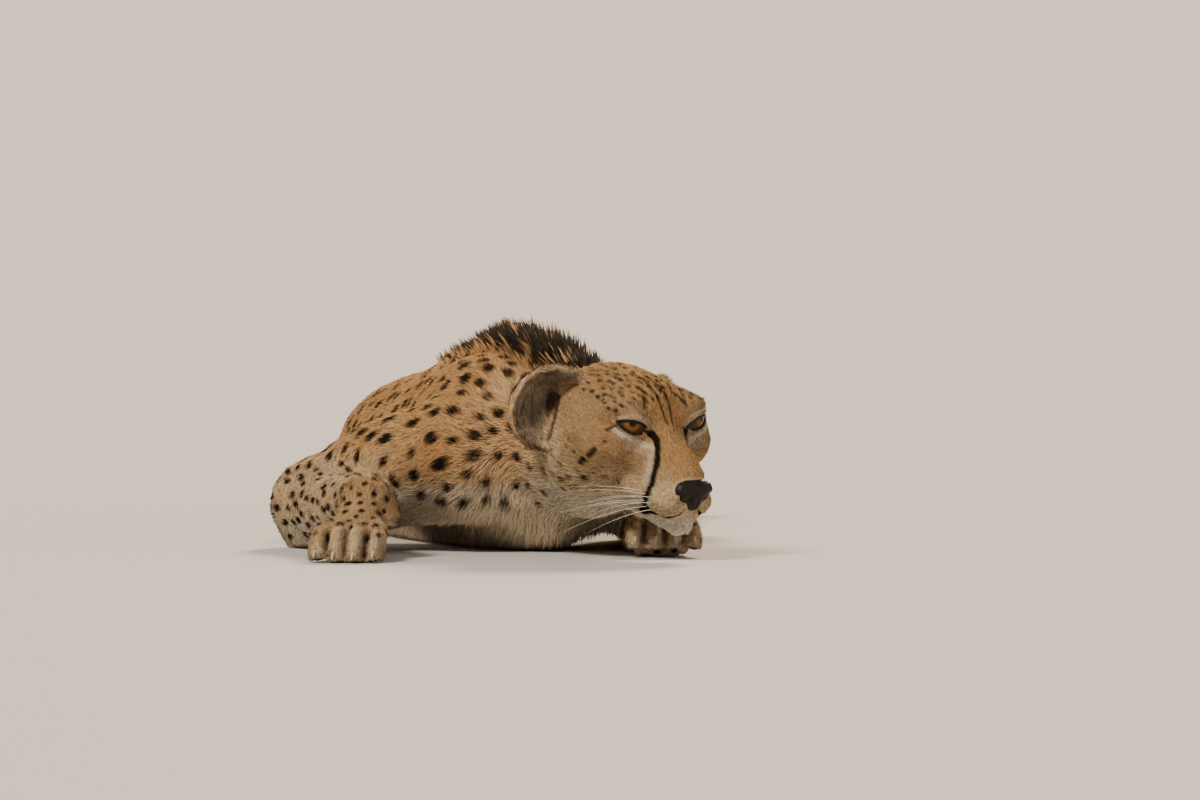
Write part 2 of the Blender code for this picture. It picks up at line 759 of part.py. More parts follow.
def build_claws(parts, body, helpers):
    """Claws on every toe, and dewclaws on the forepaws."""
    made = []
    feet = [(f"forepaw_{s}", forepaw_frame(s), 112, 16.0, 13, 3.2) for s in ("right", "left")]
    feet += [(f"hind_foot_{s}", hind_foot_frame(s), 222, 13.0, 11, 2.8) for s in ("right", "left")]
    for foot, frame, reach, width, length, girth in feet:
        for i, (_, tip) in enumerate(toe_places(reach, 2.0, width), start=1):
            place = (tip[0] + 6.5, tip[1], tip[2] + 5)
            made.append(make_claw(f"claw_{foot}_{i}", frame, place, length, girth,
                                  body, helpers, parts[foot]))
    return made


def footprint_centre(objects):
    """The middle, on the floor, of the box around these objects."""
    points = np.concatenate([read_points(obj.data) for obj in objects])
    middle = (points.min(axis=0) + points.max(axis=0)) / 2
    return Vector((middle[0], middle[1], 0.0))


def main():
    """Build every part, give it a finish and set the origin."""
    for obj in list(bpy.data.objects):
        bpy.data.objects.remove(obj)
    body = bpy.data.collections.new("cheetah")
    helpers = bpy.data.collections.new("cutters")
    for collection in (body, helpers):
        bpy.context.scene.collection.children.link(collection)
    finishes = make_materials()
    parts, core_grown = build_core(body, helpers)
    parts.update(build_loose_limbs(body, helpers, core_grown))
    others = {"eye": [], "nose_leather": [], "claw": build_claws(parts, body, helpers)}
    for side, sign in (("right", -1), ("left", 1)):
        parts[f"ear_{side}"] = make_ear(side, sign, body, helpers, core_grown)
        others["eye"].append(make_eye(side, sign, body, helpers, parts["head"]))
    others["nose_leather"].append(make_nose(body, helpers, parts["head"]))
    others["coat"] = list(parts.values())
    origin = footprint_centre([obj for objects in others.values() for obj in objects])
    for finish, objects in others.items():
        for obj in objects:
            obj.data.materials.clear()
            obj.data.materials.append(finishes[finish])
            obj.data.transform(Matrix.Translation(-origin))
            obj.data.shade_smooth()
            obj.data.set_sharp_from_angle(angle=radians(50))


if __name__ == "__main__":
    main()
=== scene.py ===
"""A resting cheetah, life size: skin, coat, eyes, nose, claws and whiskers, in a plain studio."""
import logging
import math
from dataclasses import dataclass, field
from enum import Enum

import bmesh
import bpy
import numpy as np
from mathutils import Matrix, Vector
from mathutils.bvhtree import BVHTree
from mathutils.kdtree import KDTree


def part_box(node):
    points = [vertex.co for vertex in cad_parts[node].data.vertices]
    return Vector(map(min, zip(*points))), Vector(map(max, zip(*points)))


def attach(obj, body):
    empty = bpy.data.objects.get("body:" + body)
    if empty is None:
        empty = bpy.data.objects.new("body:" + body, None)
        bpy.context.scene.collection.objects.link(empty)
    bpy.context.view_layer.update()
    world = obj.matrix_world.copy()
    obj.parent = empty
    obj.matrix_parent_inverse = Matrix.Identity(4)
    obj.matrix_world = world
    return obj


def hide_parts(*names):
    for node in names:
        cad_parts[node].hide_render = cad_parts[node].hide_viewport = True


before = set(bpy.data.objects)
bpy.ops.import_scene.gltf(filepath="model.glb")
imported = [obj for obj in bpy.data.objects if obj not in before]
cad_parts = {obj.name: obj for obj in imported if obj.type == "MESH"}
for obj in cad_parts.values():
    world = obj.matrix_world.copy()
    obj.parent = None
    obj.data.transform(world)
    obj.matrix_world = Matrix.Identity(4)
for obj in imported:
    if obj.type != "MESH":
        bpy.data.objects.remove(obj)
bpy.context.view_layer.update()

LOG = logging.getLogger("cheetah")
MM = 0.001
BAKE_MAP = "OFBake"
COLOUR_LAYER = "markings"
SEED = 7
FLESH_DEPTH = 14.0  # millimetres that a mark reaches below and above the surface it was drawn on

Points = np.ndarray
Colour = tuple[float, float, float]
Triple = tuple[float, float, float]


class Side(Enum):
    """The two sides of the animal, with the sign of their y in the head's frame."""

    RIGHT = -1
    LEFT = 1


class Finish(Enum):
    """Names for the kinds of finish of the pieces."""

    COAT = "coat"
    NOSE = "nose_leather"
    EYE = "eye"
    CLAW = "claw"


# ---------------- small helpers

def unit(vectors: Points) -> Points:
    """The same vectors with a length of one."""
    return vectors / np.maximum(np.linalg.norm(vectors, axis=-1, keepdims=True), 1e-9)


def ease(values: Points, low: float, high: float) -> Points:
    """Smooth step.

    Args:
        values: What is compared with the two limits.
        low: Where the step starts; it may be above high.
        high: Where the step ends.

    Returns:
        0 before low, 1 past high, and a smooth rise between them.
    """
    share = np.clip((values - low) / (high - low), 0.0, 1.0)
    return share * share * (3 - 2 * share)


def blend(first: Points, second: Points, share: Points) -> Points:
    """Mix of two colours or vectors by a share for each point."""
    share = np.asarray(share)[..., None]
    return first * (1 - share) + second * share


def distance_to_path(points: Points, path: list[Triple] | tuple[Triple, ...],
                     normals: Points | None = None) -> Points:
    """How far points lie from a broken line.

    Args:
        points: One row for each point.
        path: The corners of the line, in the same frame.
        normals: If given, heights along them don't count, up to the usual thickness of flesh and coat.

    Returns:
        The shortest distance of each point.
    """
    best = np.full(len(points), np.inf)
    corners = np.array(path, float)
    for start, end in zip(corners[:-1], corners[1:]):
        span = end - start
        share = np.clip((points - start) @ span / max(span @ span, 1e-12), 0, 1)[:, None]
        gap = points - start - share * span
        if normals is not None:
            height = (gap * normals).sum(1, keepdims=True)
            gap = gap - height * normals * (np.abs(height) < FLESH_DEPTH)
        best = np.minimum(best, np.linalg.norm(gap, axis=1))
    return best


def soft_noise(points: Points, scale: float, seed: int) -> Points:
    """A smooth random field made of a few waves.

    Args:
        points: One row for each point, in metres.
        scale: Rough distance between two crests, in metres.
        seed: Picks the waves.

    Returns:
        A value between about -1 and 1 for each point.
    """
    draw = np.random.default_rng(seed)
    total = np.zeros(len(points))
    for _ in range(7):
        wave = unit(draw.normal(size=3)) * 2 * math.pi / (scale * draw.uniform(0.7, 1.5))
        total += np.sin(points @ wave + draw.uniform(0, 2 * math.pi))
    return total / 2.6


def read_rows(items: bpy.types.bpy_prop_collection, key: str, width: int = 3) -> Points:
    """Numbers of a mesh's vertices, loops or normals.

    Args:
        items: The mesh's collection.
        key: What is read of each item.
        width: How many numbers each has.

    Returns:
        One row for each item.
    """
    rows = np.empty(len(items) * width, np.float32)
    items.foreach_get(key, rows)
    return rows.reshape(-1, width).astype(float)


def read_points(mesh: bpy.types.Mesh) -> Points:
    """The places of a mesh's vertices."""
    return read_rows(mesh.vertices, "co")


def write_points(mesh: bpy.types.Mesh, places: Points) -> None:
    """Moves a mesh's vertices."""
    mesh.vertices.foreach_set("co", places.astype(np.float32).ravel())
    mesh.update()


def read_normals(mesh: bpy.types.Mesh) -> Points:
    """The normals of a mesh's vertices."""
    return read_rows(mesh.vertex_normals, "vector")


def middle_of(box: tuple[Vector, Vector]) -> Points:
    """The middle of a node's box."""
    return sum(np.array(corner) for corner in box) / 2


def folded(local: Points) -> Points:
    """Points of the head's frame with both sides laid on the left one."""
    return local * np.where(local[:, 1:2] < 0, (1, -1, 1), (1, 1, 1))


def laid(flow: Points, normals: Points) -> Points:
    """Directions turned into the skin."""
    return unit(flow - (flow * normals).sum(1, keepdims=True) * normals + 1e-6)


def paint(mesh: bpy.types.Mesh, colours: Points) -> None:
    """Gives each vertex its colour.

    Args:
        mesh: Receives the colours.
        colours: One linear colour for each vertex.
    """
    layer = mesh.color_attributes.new(COLOUR_LAYER, "FLOAT_COLOR", "POINT")
    full = np.ones((len(mesh.vertices), 4), np.float32)
    full[:, :3] = np.clip(colours, 0.0, 1.0)
    layer.data.foreach_set("color", full.ravel())


def new_piece(name: str, mesh: bpy.types.Mesh, material: bpy.types.Material,
              finish: Finish) -> bpy.types.Object:
    """Makes a piece that rides on the model.

    Args:
        name: The piece's name.
        mesh: Its mesh, in the model's frame.
        material: Its only material.
        finish: Not used.

    Returns:
        The new object.
    """
    mesh.name = name
    mesh.materials.clear()
    mesh.materials.append(material)
    mesh.shade_smooth()
    piece = bpy.data.objects.new(name, mesh)
    bpy.context.scene.collection.objects.link(piece)
    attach(piece, "root")
    return piece


def finished_mesh(source: bpy.types.Object) -> bpy.types.Mesh:
    """The mesh of an object with its modifiers applied; the object is removed.

    Args:
        source: The object.

    Returns:
        The finished mesh.
    """
    graph = bpy.context.evaluated_depsgraph_get()
    mesh = bpy.data.meshes.new_from_object(source.evaluated_get(graph))
    bpy.data.objects.remove(source)
    return mesh


def helper_object(mesh: bpy.types.Mesh) -> bpy.types.Object:
    """An object that only carries modifiers for a while.

    Args:
        mesh: Its mesh.

    Returns:
        The new object.
    """
    helper = bpy.data.objects.new("helper", mesh)
    bpy.context.scene.collection.objects.link(helper)
    return helper


def remeshed(mesh: bpy.types.Mesh, voxel: float) -> bpy.types.Mesh:
    """A closed skin of even faces round a mesh.

    Args:
        mesh: The shapes to wrap.
        voxel: Size of the faces, in metres.

    Returns:
        The new mesh.
    """
    helper = helper_object(mesh)
    wrap = helper.modifiers.new("wrap", "REMESH")
    wrap.mode = "VOXEL"
    wrap.voxel_size = voxel
    return finished_mesh(helper)


def merged_node(name: str, grow: float = 0.0) -> bmesh.types.BMesh:
    """A copy of a solid with its triangles joined.

    Args:
        name: The solid's name.
        grow: How far its faces move outwards, in metres.

    Returns:
        A mesh that may be changed freely.
    """
    shape = bmesh.new()
    shape.from_mesh(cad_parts[name].data)
    bmesh.ops.remove_doubles(shape, verts=shape.verts, dist=2e-6)
    shape.normal_update()
    if grow:
        for vertex in shape.verts:
            vertex.co += vertex.normal * grow
    return shape


def tube(shape: bmesh.types.BMesh, path: Points, radii: list[float], segments: int,
         closed: bool = False) -> None:
    """Adds a round tube along a path.

    Args:
        shape: Receives the tube.
        path: Points along its middle, in metres.
        radii: Its radius at each point.
        segments: Sides of its section.
        closed: Whether the last point joins the first.
    """
    rings = []
    count = len(path)
    for i, (point, radius) in enumerate(zip(path, radii)):
        ahead = path[(i + 1) % count] if closed or i + 1 < count else path[i]
        behind = path[i - 1] if closed or i else path[i]
        turn = Vector(ahead - behind).normalized().to_track_quat("Z", "Y").to_matrix().to_4x4()
        cap = not closed and i in (0, count - 1)
        ring = bmesh.ops.create_circle(
            shape, cap_ends=cap, segments=segments, radius=radius, matrix=Matrix.Translation(point) @ turn
        )["verts"]
        rings.append(list({edge for vertex in ring for edge in vertex.link_edges}))
    pairs = list(zip(rings, rings[1:])) + ([(rings[-1], rings[0])] if closed else [])
    for first, second in pairs:
        bmesh.ops.bridge_loops(shape, edges=first + second)


def mesh_from(shape: bmesh.types.BMesh, name: str) -> bpy.types.Mesh:
    """Turns a bmesh into a mesh and frees it.

    Args:
        shape: The bmesh.
        name: The mesh's name.

    Returns:
        The new mesh, its faces pointing outwards.
    """
    bmesh.ops.recalc_face_normals(shape, faces=shape.faces)
    mesh = bpy.data.meshes.new(name)
    shape.to_mesh(mesh)
    shape.free()
    return mesh


# ---------------- the head's frame

@dataclass(frozen=True)
class HeadFrame:
    """Where the head lies: x runs along the muzzle, y to its left and z to the crown, in millimetres.

    Attributes:
        yaw: Turn of the muzzle from ahead to the left, in degrees.
        pitch_down: Its slope downwards, in degrees.
        roll: The head's lean, in degrees.
        eyes_ahead: How far the eyes lie ahead of the origin.
        eyes_above: How far they lie above it.
    """

    yaw: float = 37.0
    pitch_down: float = 17.0
    roll: float = 2.5
    eyes_ahead: float = 52.0
    eyes_above: float = 21.0

    def axes(self) -> Points:
        """Rows with the forward, left and upward axes.

        Returns:
            Three unit vectors in the model's frame.
        """
        yaw, pitch, roll = (math.radians(a) for a in (self.yaw, self.pitch_down, self.roll))
        ahead = np.array([math.cos(yaw) * math.cos(pitch), math.sin(yaw) * math.cos(pitch), -math.sin(pitch)])
        side = np.array([-math.sin(yaw), math.cos(yaw), 0.0])
        left = side * math.cos(roll) + np.cross(ahead, side) * math.sin(roll)
        return np.stack([ahead, left, np.cross(ahead, left)])

    def origin(self) -> Points:
        """The frame's origin, found from the eyes."""
        eyes = (middle_of(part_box("eye_left")) + middle_of(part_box("eye_right"))) / 2
        return eyes - np.array([self.eyes_ahead, 0, self.eyes_above]) * MM @ self.axes()

    def inside(self, points: Points) -> Points:
        """Points of the model in the head's frame, in millimetres."""
        return (points - self.origin()) @ self.axes().T / MM

    def outside(self, points: Points | tuple) -> Points:
        """Points of the head's frame in the model's frame, in metres."""
        return np.asarray(points, float) * MM @ self.axes() + self.origin()

    def turned(self, vector: Points | tuple) -> Points:
        """A direction of the head's frame in the model's frame."""
        return unit(np.asarray(vector, float) @ self.axes())


# ---------------- how the coat lies

@dataclass(frozen=True)
class CoatArea:
    """The coat on one node: sizes in millimetres.

    Attributes:
        flow: Direction in which the hairs lie.
        depth: How far the skin lies inside the outline.
        length: Length of a tuft.
        width: Width of a tuft at its root.
        room: Area of skin for each tuft, in square millimetres.
        lift: How far the tips stand off, as a share of the length.
        pale: How much the tan gives way to cream.
        spot: Radius of the spots.
        spacing: Distance between the spots.
        stretch: Length of a spot against its width.
    """

    flow: Triple
    depth: float
    length: float
    width: float
    room: float
    lift: float
    pale: float
    spot: float
    spacing: float
    stretch: float = 1.15


def leg_area(flow: Triple, **changes: float) -> CoatArea:
    """The coat of a leg, with what differs from the usual."""
    usual = dict(depth=4.6, length=8.5, width=1.15, room=3.0, lift=0.22, pale=0.30, spot=6.8, spacing=23)
    return CoatArea(flow, **{**usual, **changes})


def paw_area(flow: Triple, **changes: float) -> CoatArea:
    """The coat of a paw, with what differs from the usual."""
    usual = dict(depth=2.4, length=5.8, width=0.9, room=1.5, lift=0.26, pale=0.40, spot=3.9, spacing=13)
    return CoatArea(flow, **{**usual, **changes})


AREAS: dict[str, CoatArea] = {
    "head": CoatArea((-0.7, -0.6, 0.2), 3.6, 5.0, 0.85, 0.75, 0.26, 0.0, 0, 40),
    "neck": CoatArea((-0.90, -0.38, -0.12), 6.5, 9.0, 1.15, 2.7, 0.28, 0.20, 6.3, 18.5),
    "chest": CoatArea((-0.95, -0.22, -0.28), 5.2, 8.4, 1.15, 2.9, 0.24, 0.05, 6.7, 19.5),
    "rump": CoatArea((-0.95, 0.10, -0.30), 5.0, 8.8, 1.2, 3.2, 0.23, 0.05, 7.8, 25),
    "tail_root": CoatArea((-1.0, -0.05, -0.2), 5.0, 10, 1.3, 3.3, 0.25, 0.10, 7.0, 23),
    "tail_middle": CoatArea((-1.0, 0.0, 0.0), 5.0, 10, 1.3, 3.2, 0.25, 0.15, 8.5, 22),
    "tail_tip": CoatArea((-0.15, 1.0, 0.0), 7.0, 16, 1.6, 2.8, 0.38, 0.35, 0, 60),
    "upper_arm_right": leg_area((-0.55, -0.75, -0.35), spot=6.7, spacing=19.5, pale=0.10, depth=5),
    "upper_arm_left": leg_area((-0.92, 0.12, -0.36), pale=0.20, depth=5),
    "forearm_right": leg_area((0.92, 0.30, -0.05), spot=5.2, spacing=16, stretch=2.0, pale=0.66, length=7.0),
    "forearm_left": leg_area((1.0, 0.05, 0.0), spot=5.2, spacing=17, stretch=2.0, pale=0.62, length=7.0),
    "forepaw_right": paw_area((0.93, 0.0, -0.32)),
    "forepaw_left": paw_area((0.98, 0.08, -0.12)),
    "shank_left": leg_area((-0.96, 0.20, -0.18)),
    "shank_right": leg_area((-0.93, 0.34, -0.05)),
    "hind_foot_left": paw_area((0.98, 0.05, -0.15), spot=3.6, spacing=16),
    "hind_foot_right": paw_area((0.98, 0.20, -0.08), spot=3.6, spacing=16),
    "ear_right": CoatArea((0, 0, 1), 0.6, 7.0, 0.75, 0.95, 0.22, 0.0, 0, 40),
    "ear_left": CoatArea((0, 0, 1), 0.6, 7.0, 0.75, 0.95, 0.22, 0.0, 0, 40),
}
FLESH = list(AREAS)
PAWS = ("forepaw_right", "forepaw_left", "hind_foot_right", "hind_foot_left")
EARS = ("ear_right", "ear_left")


def numbers_of(nodes: tuple[str, ...]) -> list[int]:
    """Places of nodes in the list of flesh."""
    return [FLESH.index(node) for node in nodes]


@dataclass
class Surface:
    """The skin's shape with what the coat needs to know at each vertex, in metres.

    Attributes:
        points: Places of the vertices.
        normals: Their normals.
        triangles: Vertex numbers of each face.
        edges: Vertex numbers of each edge.
        node: Number of the nearest node of flesh.
        flow: Direction of the coat.
        values: Smoothed numbers of the coat areas by name.
    """

    points: Points
    normals: Points
    triangles: Points
    edges: Points
    node: Points = field(default_factory=lambda: np.zeros(0, int))
    flow: Points = field(default_factory=lambda: np.zeros((0, 3)))
    values: dict[str, Points] = field(default_factory=dict)

    @classmethod
    def of(cls, mesh: bpy.types.Mesh) -> "Surface":
        """Reads a mesh.

        Args:
            mesh: A mesh of triangles.

        Returns:
            Its surface, without areas or flow.
        """
        mesh.calc_loop_triangles()
        triangles = np.empty(len(mesh.loop_triangles) * 3, np.int32)
        mesh.loop_triangles.foreach_get("vertices", triangles)
        edges = np.empty(len(mesh.edges) * 2, np.int32)
        mesh.edges.foreach_get("vertices", edges)
        return cls(read_points(mesh), read_normals(mesh), triangles.reshape(-1, 3), edges.reshape(-1, 2))

    def spread(self, values: Points, times: int, share: float | Points = 1.0) -> Points:
        """Evens values out between neighbours.

        Args:
            values: One value or row for each vertex.
            times: How often each vertex takes its neighbours' mean.
            share: How far it moves to the mean each time.

        Returns:
            The smoothed values.
        """
        count = len(self.points)
        first, second = self.edges.T
        degree = np.maximum(np.bincount(self.edges.ravel(), minlength=count), 1)
        values = np.array(values, float)
        flat = values.reshape(count, -1)
        weight = np.broadcast_to(np.asarray(share, float), (count,))[:, None]
        for _ in range(times):
            mean = np.stack(
                [
                    np.bincount(first, column[second], count) + np.bincount(second, column[first], count)
                    for column in flat.T
                ],
                axis=1,
            ) / degree[:, None]
            flat = flat + (mean - flat) * weight
        return flat.reshape(values.shape)

    def relax(self, times: int, share: float | Points = 0.5) -> None:
        """Smooths the shape without shrinking it.

        Args:
            times: How often it is smoothed.
            share: How far each vertex moves each time.
        """
        for _ in range(times):
            self.points = self.spread(self.points, 1, share)
            self.points = self.spread(self.points, 1, -1.04 * np.asarray(share))


# ---------------- the markings

@dataclass(frozen=True)
class Palette:
    """Colours of the coat, in linear light."""

    tan: Colour = (0.425, 0.238, 0.098)
    gold: Colour = (0.420, 0.208, 0.068)
    cream: Colour = (0.640, 0.470, 0.290)
    white: Colour = (0.760, 0.660, 0.520)
    black: Colour = (0.014, 0.0092, 0.006)
    brown: Colour = (0.090, 0.050, 0.026)
    ear_grey: Colour = (0.235, 0.170, 0.112)
    face: Colour = (0.385, 0.238, 0.116)
    pad: Colour = (0.030, 0.022, 0.019)

    def arrays(self, *names: str) -> list[Points]:
        """The named colours as arrays."""
        return [np.array(getattr(self, name)) for name in names]


@dataclass(frozen=True)
class FaceMark:
    """A dark or pale line on the face, mirrored on both sides, in the head's frame in millimetres."""

    path: tuple[Triple, ...]
    width: float
    strength: float = 1.0


MOUTH = FaceMark(((128, 0, -41), (121, 10, -46), (113, 19, -51), (102, 26, -56), (90, 28, -57)), 1.7)
PHILTRUM = FaceMark(((128, 0, -34), (128, 0, -42)), 1.2)
FACE_MARKS = (
    FaceMark(((63, 22, 14), (70, 18, 15), (77, 17.5, 12), (81, 19, 8)), 3.4),
    FaceMark(((81, 19, 8), (88, 21.5, -3), (91, 24, -12), (94, 29, -24), (93, 30, -36), (89, 29, -48)), 3.0),
    FaceMark(((91, 28, -51), (84, 29, -58)), 6.0),
    FaceMark(((57, 49, 21), (51, 54, 14)), 1.3, 0.8),
    FaceMark(((48, 61, -4), (42, 64, -12)), 2.5, 0.95),
    FaceMark(((36, 66, -19), (31, 66, -25)), 3.2, 0.97),
    FaceMark(((50, 18, 46), (56, 20, 44), (63, 23, 39)), 2.0, 0.85),
    FaceMark(((20, 4, 55), (45, 5, 49), (60, 5, 38), (74, 4, 27)), 1.5, 0.75),
    FaceMark(((-31, 60, 20), (-29, 60, 8), (-26, 60, -6), (-25, 60, -18)), 3.4, 0.85),
    MOUTH,
    PHILTRUM,
)
WHISKER_ROWS = tuple(
    (112 - 7.0 * step - 2.0 * row, 15 + 4.6 * step + 0.5 * row, -31 - 5.0 * row + 0.6 * step, 0.75)
    for row in range(4) for step in range(4)
)
CHEEK_SPOTS = (
    # x, y, z, radius
    (31, 58, -41, 4.2), (13, 64, -46, 3.6), (2, 66, -52, 4.4), (-14, 62, -50, 4.0), (22, 60, -54, 3.2),
    (45, 57, -25, 1.8), (52, 54, -18, 1.6), (40, 55, -34, 1.8), (12, 60, -62, 3.0), (36, 50, -54, 2.3),
    (56, 45, -36, 1.6), (48, 50, -42, 1.6), (-4, 60, -68, 3.4), (24, 66, -14, 2.0), (12, 68, -6, 1.9),
    (24, 62, -34, 2.2), (4, 66, -34, 2.6), (53, 56, 4, 1.6), (-12, 66, -28, 2.8),
    (-50, 60, -17, 3.2), (-36, 60, -31, 3.2),
)
PALE_MARKS = (
    # path, strength, half width
    (((79, 23, 8), (72, 33, 8), (64, 43, 12), (57, 50, 16)), 0.60, 4.2),
    (((74, 22, 27), (68, 34, 31), (59, 46, 29)), 0.22, 6.0),
    (((84, 26, 6), (87, 29, -4), (89, 37, -20)), 0.38, 7.0),
    (((74, 32, 3), (68, 42, 4)), 0.25, 7.0),
    (((123, 10, -50), (113, 20, -55), (100, 27, -59)), 0.75, 4.5),
)


@dataclass
class Samples:
    """Places on the skin that get a colour, with one row or number for each.

    Attributes:
        points: The places, in metres.
        normals: The skin's normals there.
        values: The coat areas' numbers there, by name.
    """

    points: Points
    normals: Points
    values: dict[str, Points]


@dataclass
class Markings:
    """Colours of skin and coat at any point: spots, face marks, pale parts and the ringed tail.

    Attributes:
        surface: The skin's vertices.
        head: The head's frame.
        palette: The colours.
        crown_spot: Radius and spacing of the spots on the crown, in millimetres.
        nape_spot: The same on the nape.
        tries: How many places are tried for a spot.
        closeness: Least gap between two spots, as a share of their spacings' sum.
        cell: Size of the grid's cells that neighbours are looked up in, in metres.
        toe_length: Length of the pale toes, in metres.
        toe_front: Length of their palest part, in metres.
        spots: The spots' places, directions and sizes by name.
        tree: Finds the spots near a point.
    """

    surface: Surface
    head: HeadFrame
    palette: Palette
    crown_spot: tuple[float, float] = (2.6, 7.6)
    nape_spot: tuple[float, float] = (4.0, 20.0)
    tries: int = 42000
    closeness: float = 0.46
    cell: float = 0.012
    toe_length: float = 0.042
    toe_front: float = 0.012
    spots: dict[str, Points] = field(init=False)
    tree: KDTree = field(init=False)

    def __post_init__(self) -> None:
        """Scatters the spots over the skin."""
        self.spots = self._scatter_spots()
        self.tree = KDTree(len(self.spots["place"]))
        for i, place in enumerate(self.spots["place"]):
            self.tree.insert(place, i)
        self.tree.balance()

    def _scatter_spots(self) -> dict[str, Points]:
        """Places spots apart from each other by the spacing of their area.

        Returns:
            The spots' places, directions and sizes by name.
        """
        draw = np.random.default_rng(SEED)
        surface = self.surface
        local = self.head.inside(surface.points)
        on_head = surface.values["head"] > 0.5
        crown = on_head & (local[:, 2] > 33) & (local[:, 0] < 54) & (local[:, 0] > -75)
        nape = on_head & ~crown & (local[:, 0] < -32)
        radius = surface.values["spot"].copy() * MM
        spacing = surface.values["spacing"].copy() * MM
        for there, (own_radius, own_spacing) in ((crown, self.crown_spot), (nape, self.nape_spot)):
            radius[there], spacing[there] = own_radius * MM, own_spacing * MM
        toes = self._toe_share(Samples(surface.points, surface.normals, surface.values))
        allowed = (radius > 1.5 * MM) & (crown | nape | ~on_head) & (toes < 0.5)
        allowed &= surface.values["ear"] < 0.3
        allowed &= ~((surface.normals[:, 2] < -0.55) & (surface.points[:, 2] < 0.045))
        order = draw.permutation(np.flatnonzero(allowed))[:self.tries]
        grid: dict[tuple[int, int, int], list[int]] = {}
        kept: list[int] = []
        keys = np.floor(surface.points / self.cell).astype(int)
        for i in order:
            reach = spacing[i]
            span = int(reach / self.cell) + 1
            x, y, z = keys[i]
            near = [
                j
                for dx in range(-span, span + 1)
                for dy in range(-span, span + 1)
                for dz in range(-span, span + 1)
                for j in grid.get((x + dx, y + dy, z + dz), ())
            ]
            if near:
                gaps = np.linalg.norm(surface.points[near] - surface.points[i], axis=1)
                if (gaps < self.closeness * (spacing[near] + reach)).any():
                    continue
            grid.setdefault((x, y, z), []).append(i)
            kept.append(i)
        count = len(kept)
        return {
            "place": surface.points[kept],
            "normal": surface.normals[kept],
            "flow": surface.flow[kept],
            "radius": radius[kept] * draw.uniform(0.74, 1.16, count),
            "stretch": surface.values["stretch"][kept] * draw.uniform(0.9, 1.25, count),
            "phase": draw.uniform(0, 2 * math.pi, (count, 3)),
        }

    def _spot_mask(self, at: Samples) -> Points:
        """How black the round spots make each point.

        Args:
            at: Places on the skin.

        Returns:
            A share for each point.
        """
        nearest = np.array([[i for _, i, _ in self.tree.find_n(point, 3)] for point in at.points.tolist()])
        mask = np.zeros(len(nearest))
        spots = self.spots
        for column in nearest.T:
            offset = at.points - spots["place"][column]
            normal, flow = spots["normal"][column], spots["flow"][column]
            height = (offset * normal).sum(1)
            along = (offset * flow).sum(1)
            side = np.cross(normal, flow)
            across = (offset * side).sum(1)
            stretch, radius = spots["stretch"][column], spots["radius"][column]
            angle = np.arctan2(across, along)
            phase = spots["phase"][column]
            edge = 1 + 0.07 * np.sin(2 * angle + phase[:, 0]) + 0.06 * np.sin(3 * angle + phase[:, 1])
            edge += 0.03 * np.sin(5 * angle + phase[:, 2])
            reach = np.hypot(along / np.sqrt(stretch), across * np.sqrt(stretch)) / (radius * edge)
            same = ((at.normals * normal).sum(1) > 0.15) & (np.abs(height) < radius * 1.2 + 0.003)
            mask = np.maximum(mask, np.where(same, ease(reach, 1.12, 0.86), 0))
        return mask

    def _toe_share(self, at: Samples) -> Points:
        """1 on the toes of a paw, 0 on its wrist.

        Args:
            at: Places on the skin.

        Returns:
            A share for each point.
        """
        x, y, _ = at.points.T
        share = np.zeros(len(x))
        wobble = 0.006 * soft_noise(at.points, 0.02, 9)
        for name in PAWS[:2]:
            low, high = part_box(name)
            inside = at.values["paw"] * (np.abs(y - (low.y + high.y) / 2) < 0.06)
            near = (x > low.x - 0.03) & (x < high.x + 0.02)
            toes = ease(x + wobble, high.x - self.toe_length, high.x - self.toe_front)
            share = np.maximum(share, inside * near * toes)
        return share

    def colours(self, at: Samples) -> Points:
        """The coat's colour.

        Args:
            at: Places on the skin.

        Returns:
            One linear colour for each point.
        """
        tan, gold, cream, white, black, brown, pad = self.palette.arrays(
            "tan", "gold", "cream", "white", "black", "brown", "pad"
        )
        points, normals, values = at.points, at.normals, at.values
        colour = np.tile(tan, (len(points), 1))
        mottled = soft_noise(points, 0.07, 3)
        back = 0.4 * ease(points[:, 2], 0.10, 0.19)
        colour = blend(colour, gold, np.clip(0.20 + 0.2 * mottled + back, 0, 0.8))
        belly = ease(normals[:, 2], 0.12, -0.55) * ease(points[:, 2], 0.10, 0.035)
        pale = np.clip(values["pale"] + 0.10 * mottled, 0, 1)
        colour = blend(colour, cream, np.clip(pale + 0.65 * belly, 0, 1))
        colour = blend(colour, white, np.clip(1.5 * belly - 0.6, 0, 0.5))
        toes = self._toe_share(at)
        colour = blend(colour, gold, np.clip(0.16 * ease(values["paw"], 0.1, 1.0) * (1 - toes), 0, 1))
        colour = blend(colour, cream, np.clip(toes * 0.72, 0, 1))
        # Painted shade: the paws darken in their hollows, between the toes.
        colour = blend(colour, brown * 0.5, np.clip(values["fold"] * values["paw"], 0, 0.75))
        colour = blend(colour, self._head_colours(at), values["head"])
        dark = np.maximum(self._spot_mask(at), self._mane_mask(at))
        colour = blend(colour, blend(black, brown, ease(mottled, 0.2, 1.2) * 0.35), dark)
        colour = self._tail_colours(at, colour)
        colour = blend(colour, self._ear_colours(at), values["ear"])
        sole = ease(normals[:, 2], -0.62, -0.88) * np.clip(values["paw"], 0, 1)
        colour = blend(colour, pad, sole)
        return blend(colour, black, self._face_marks(at))

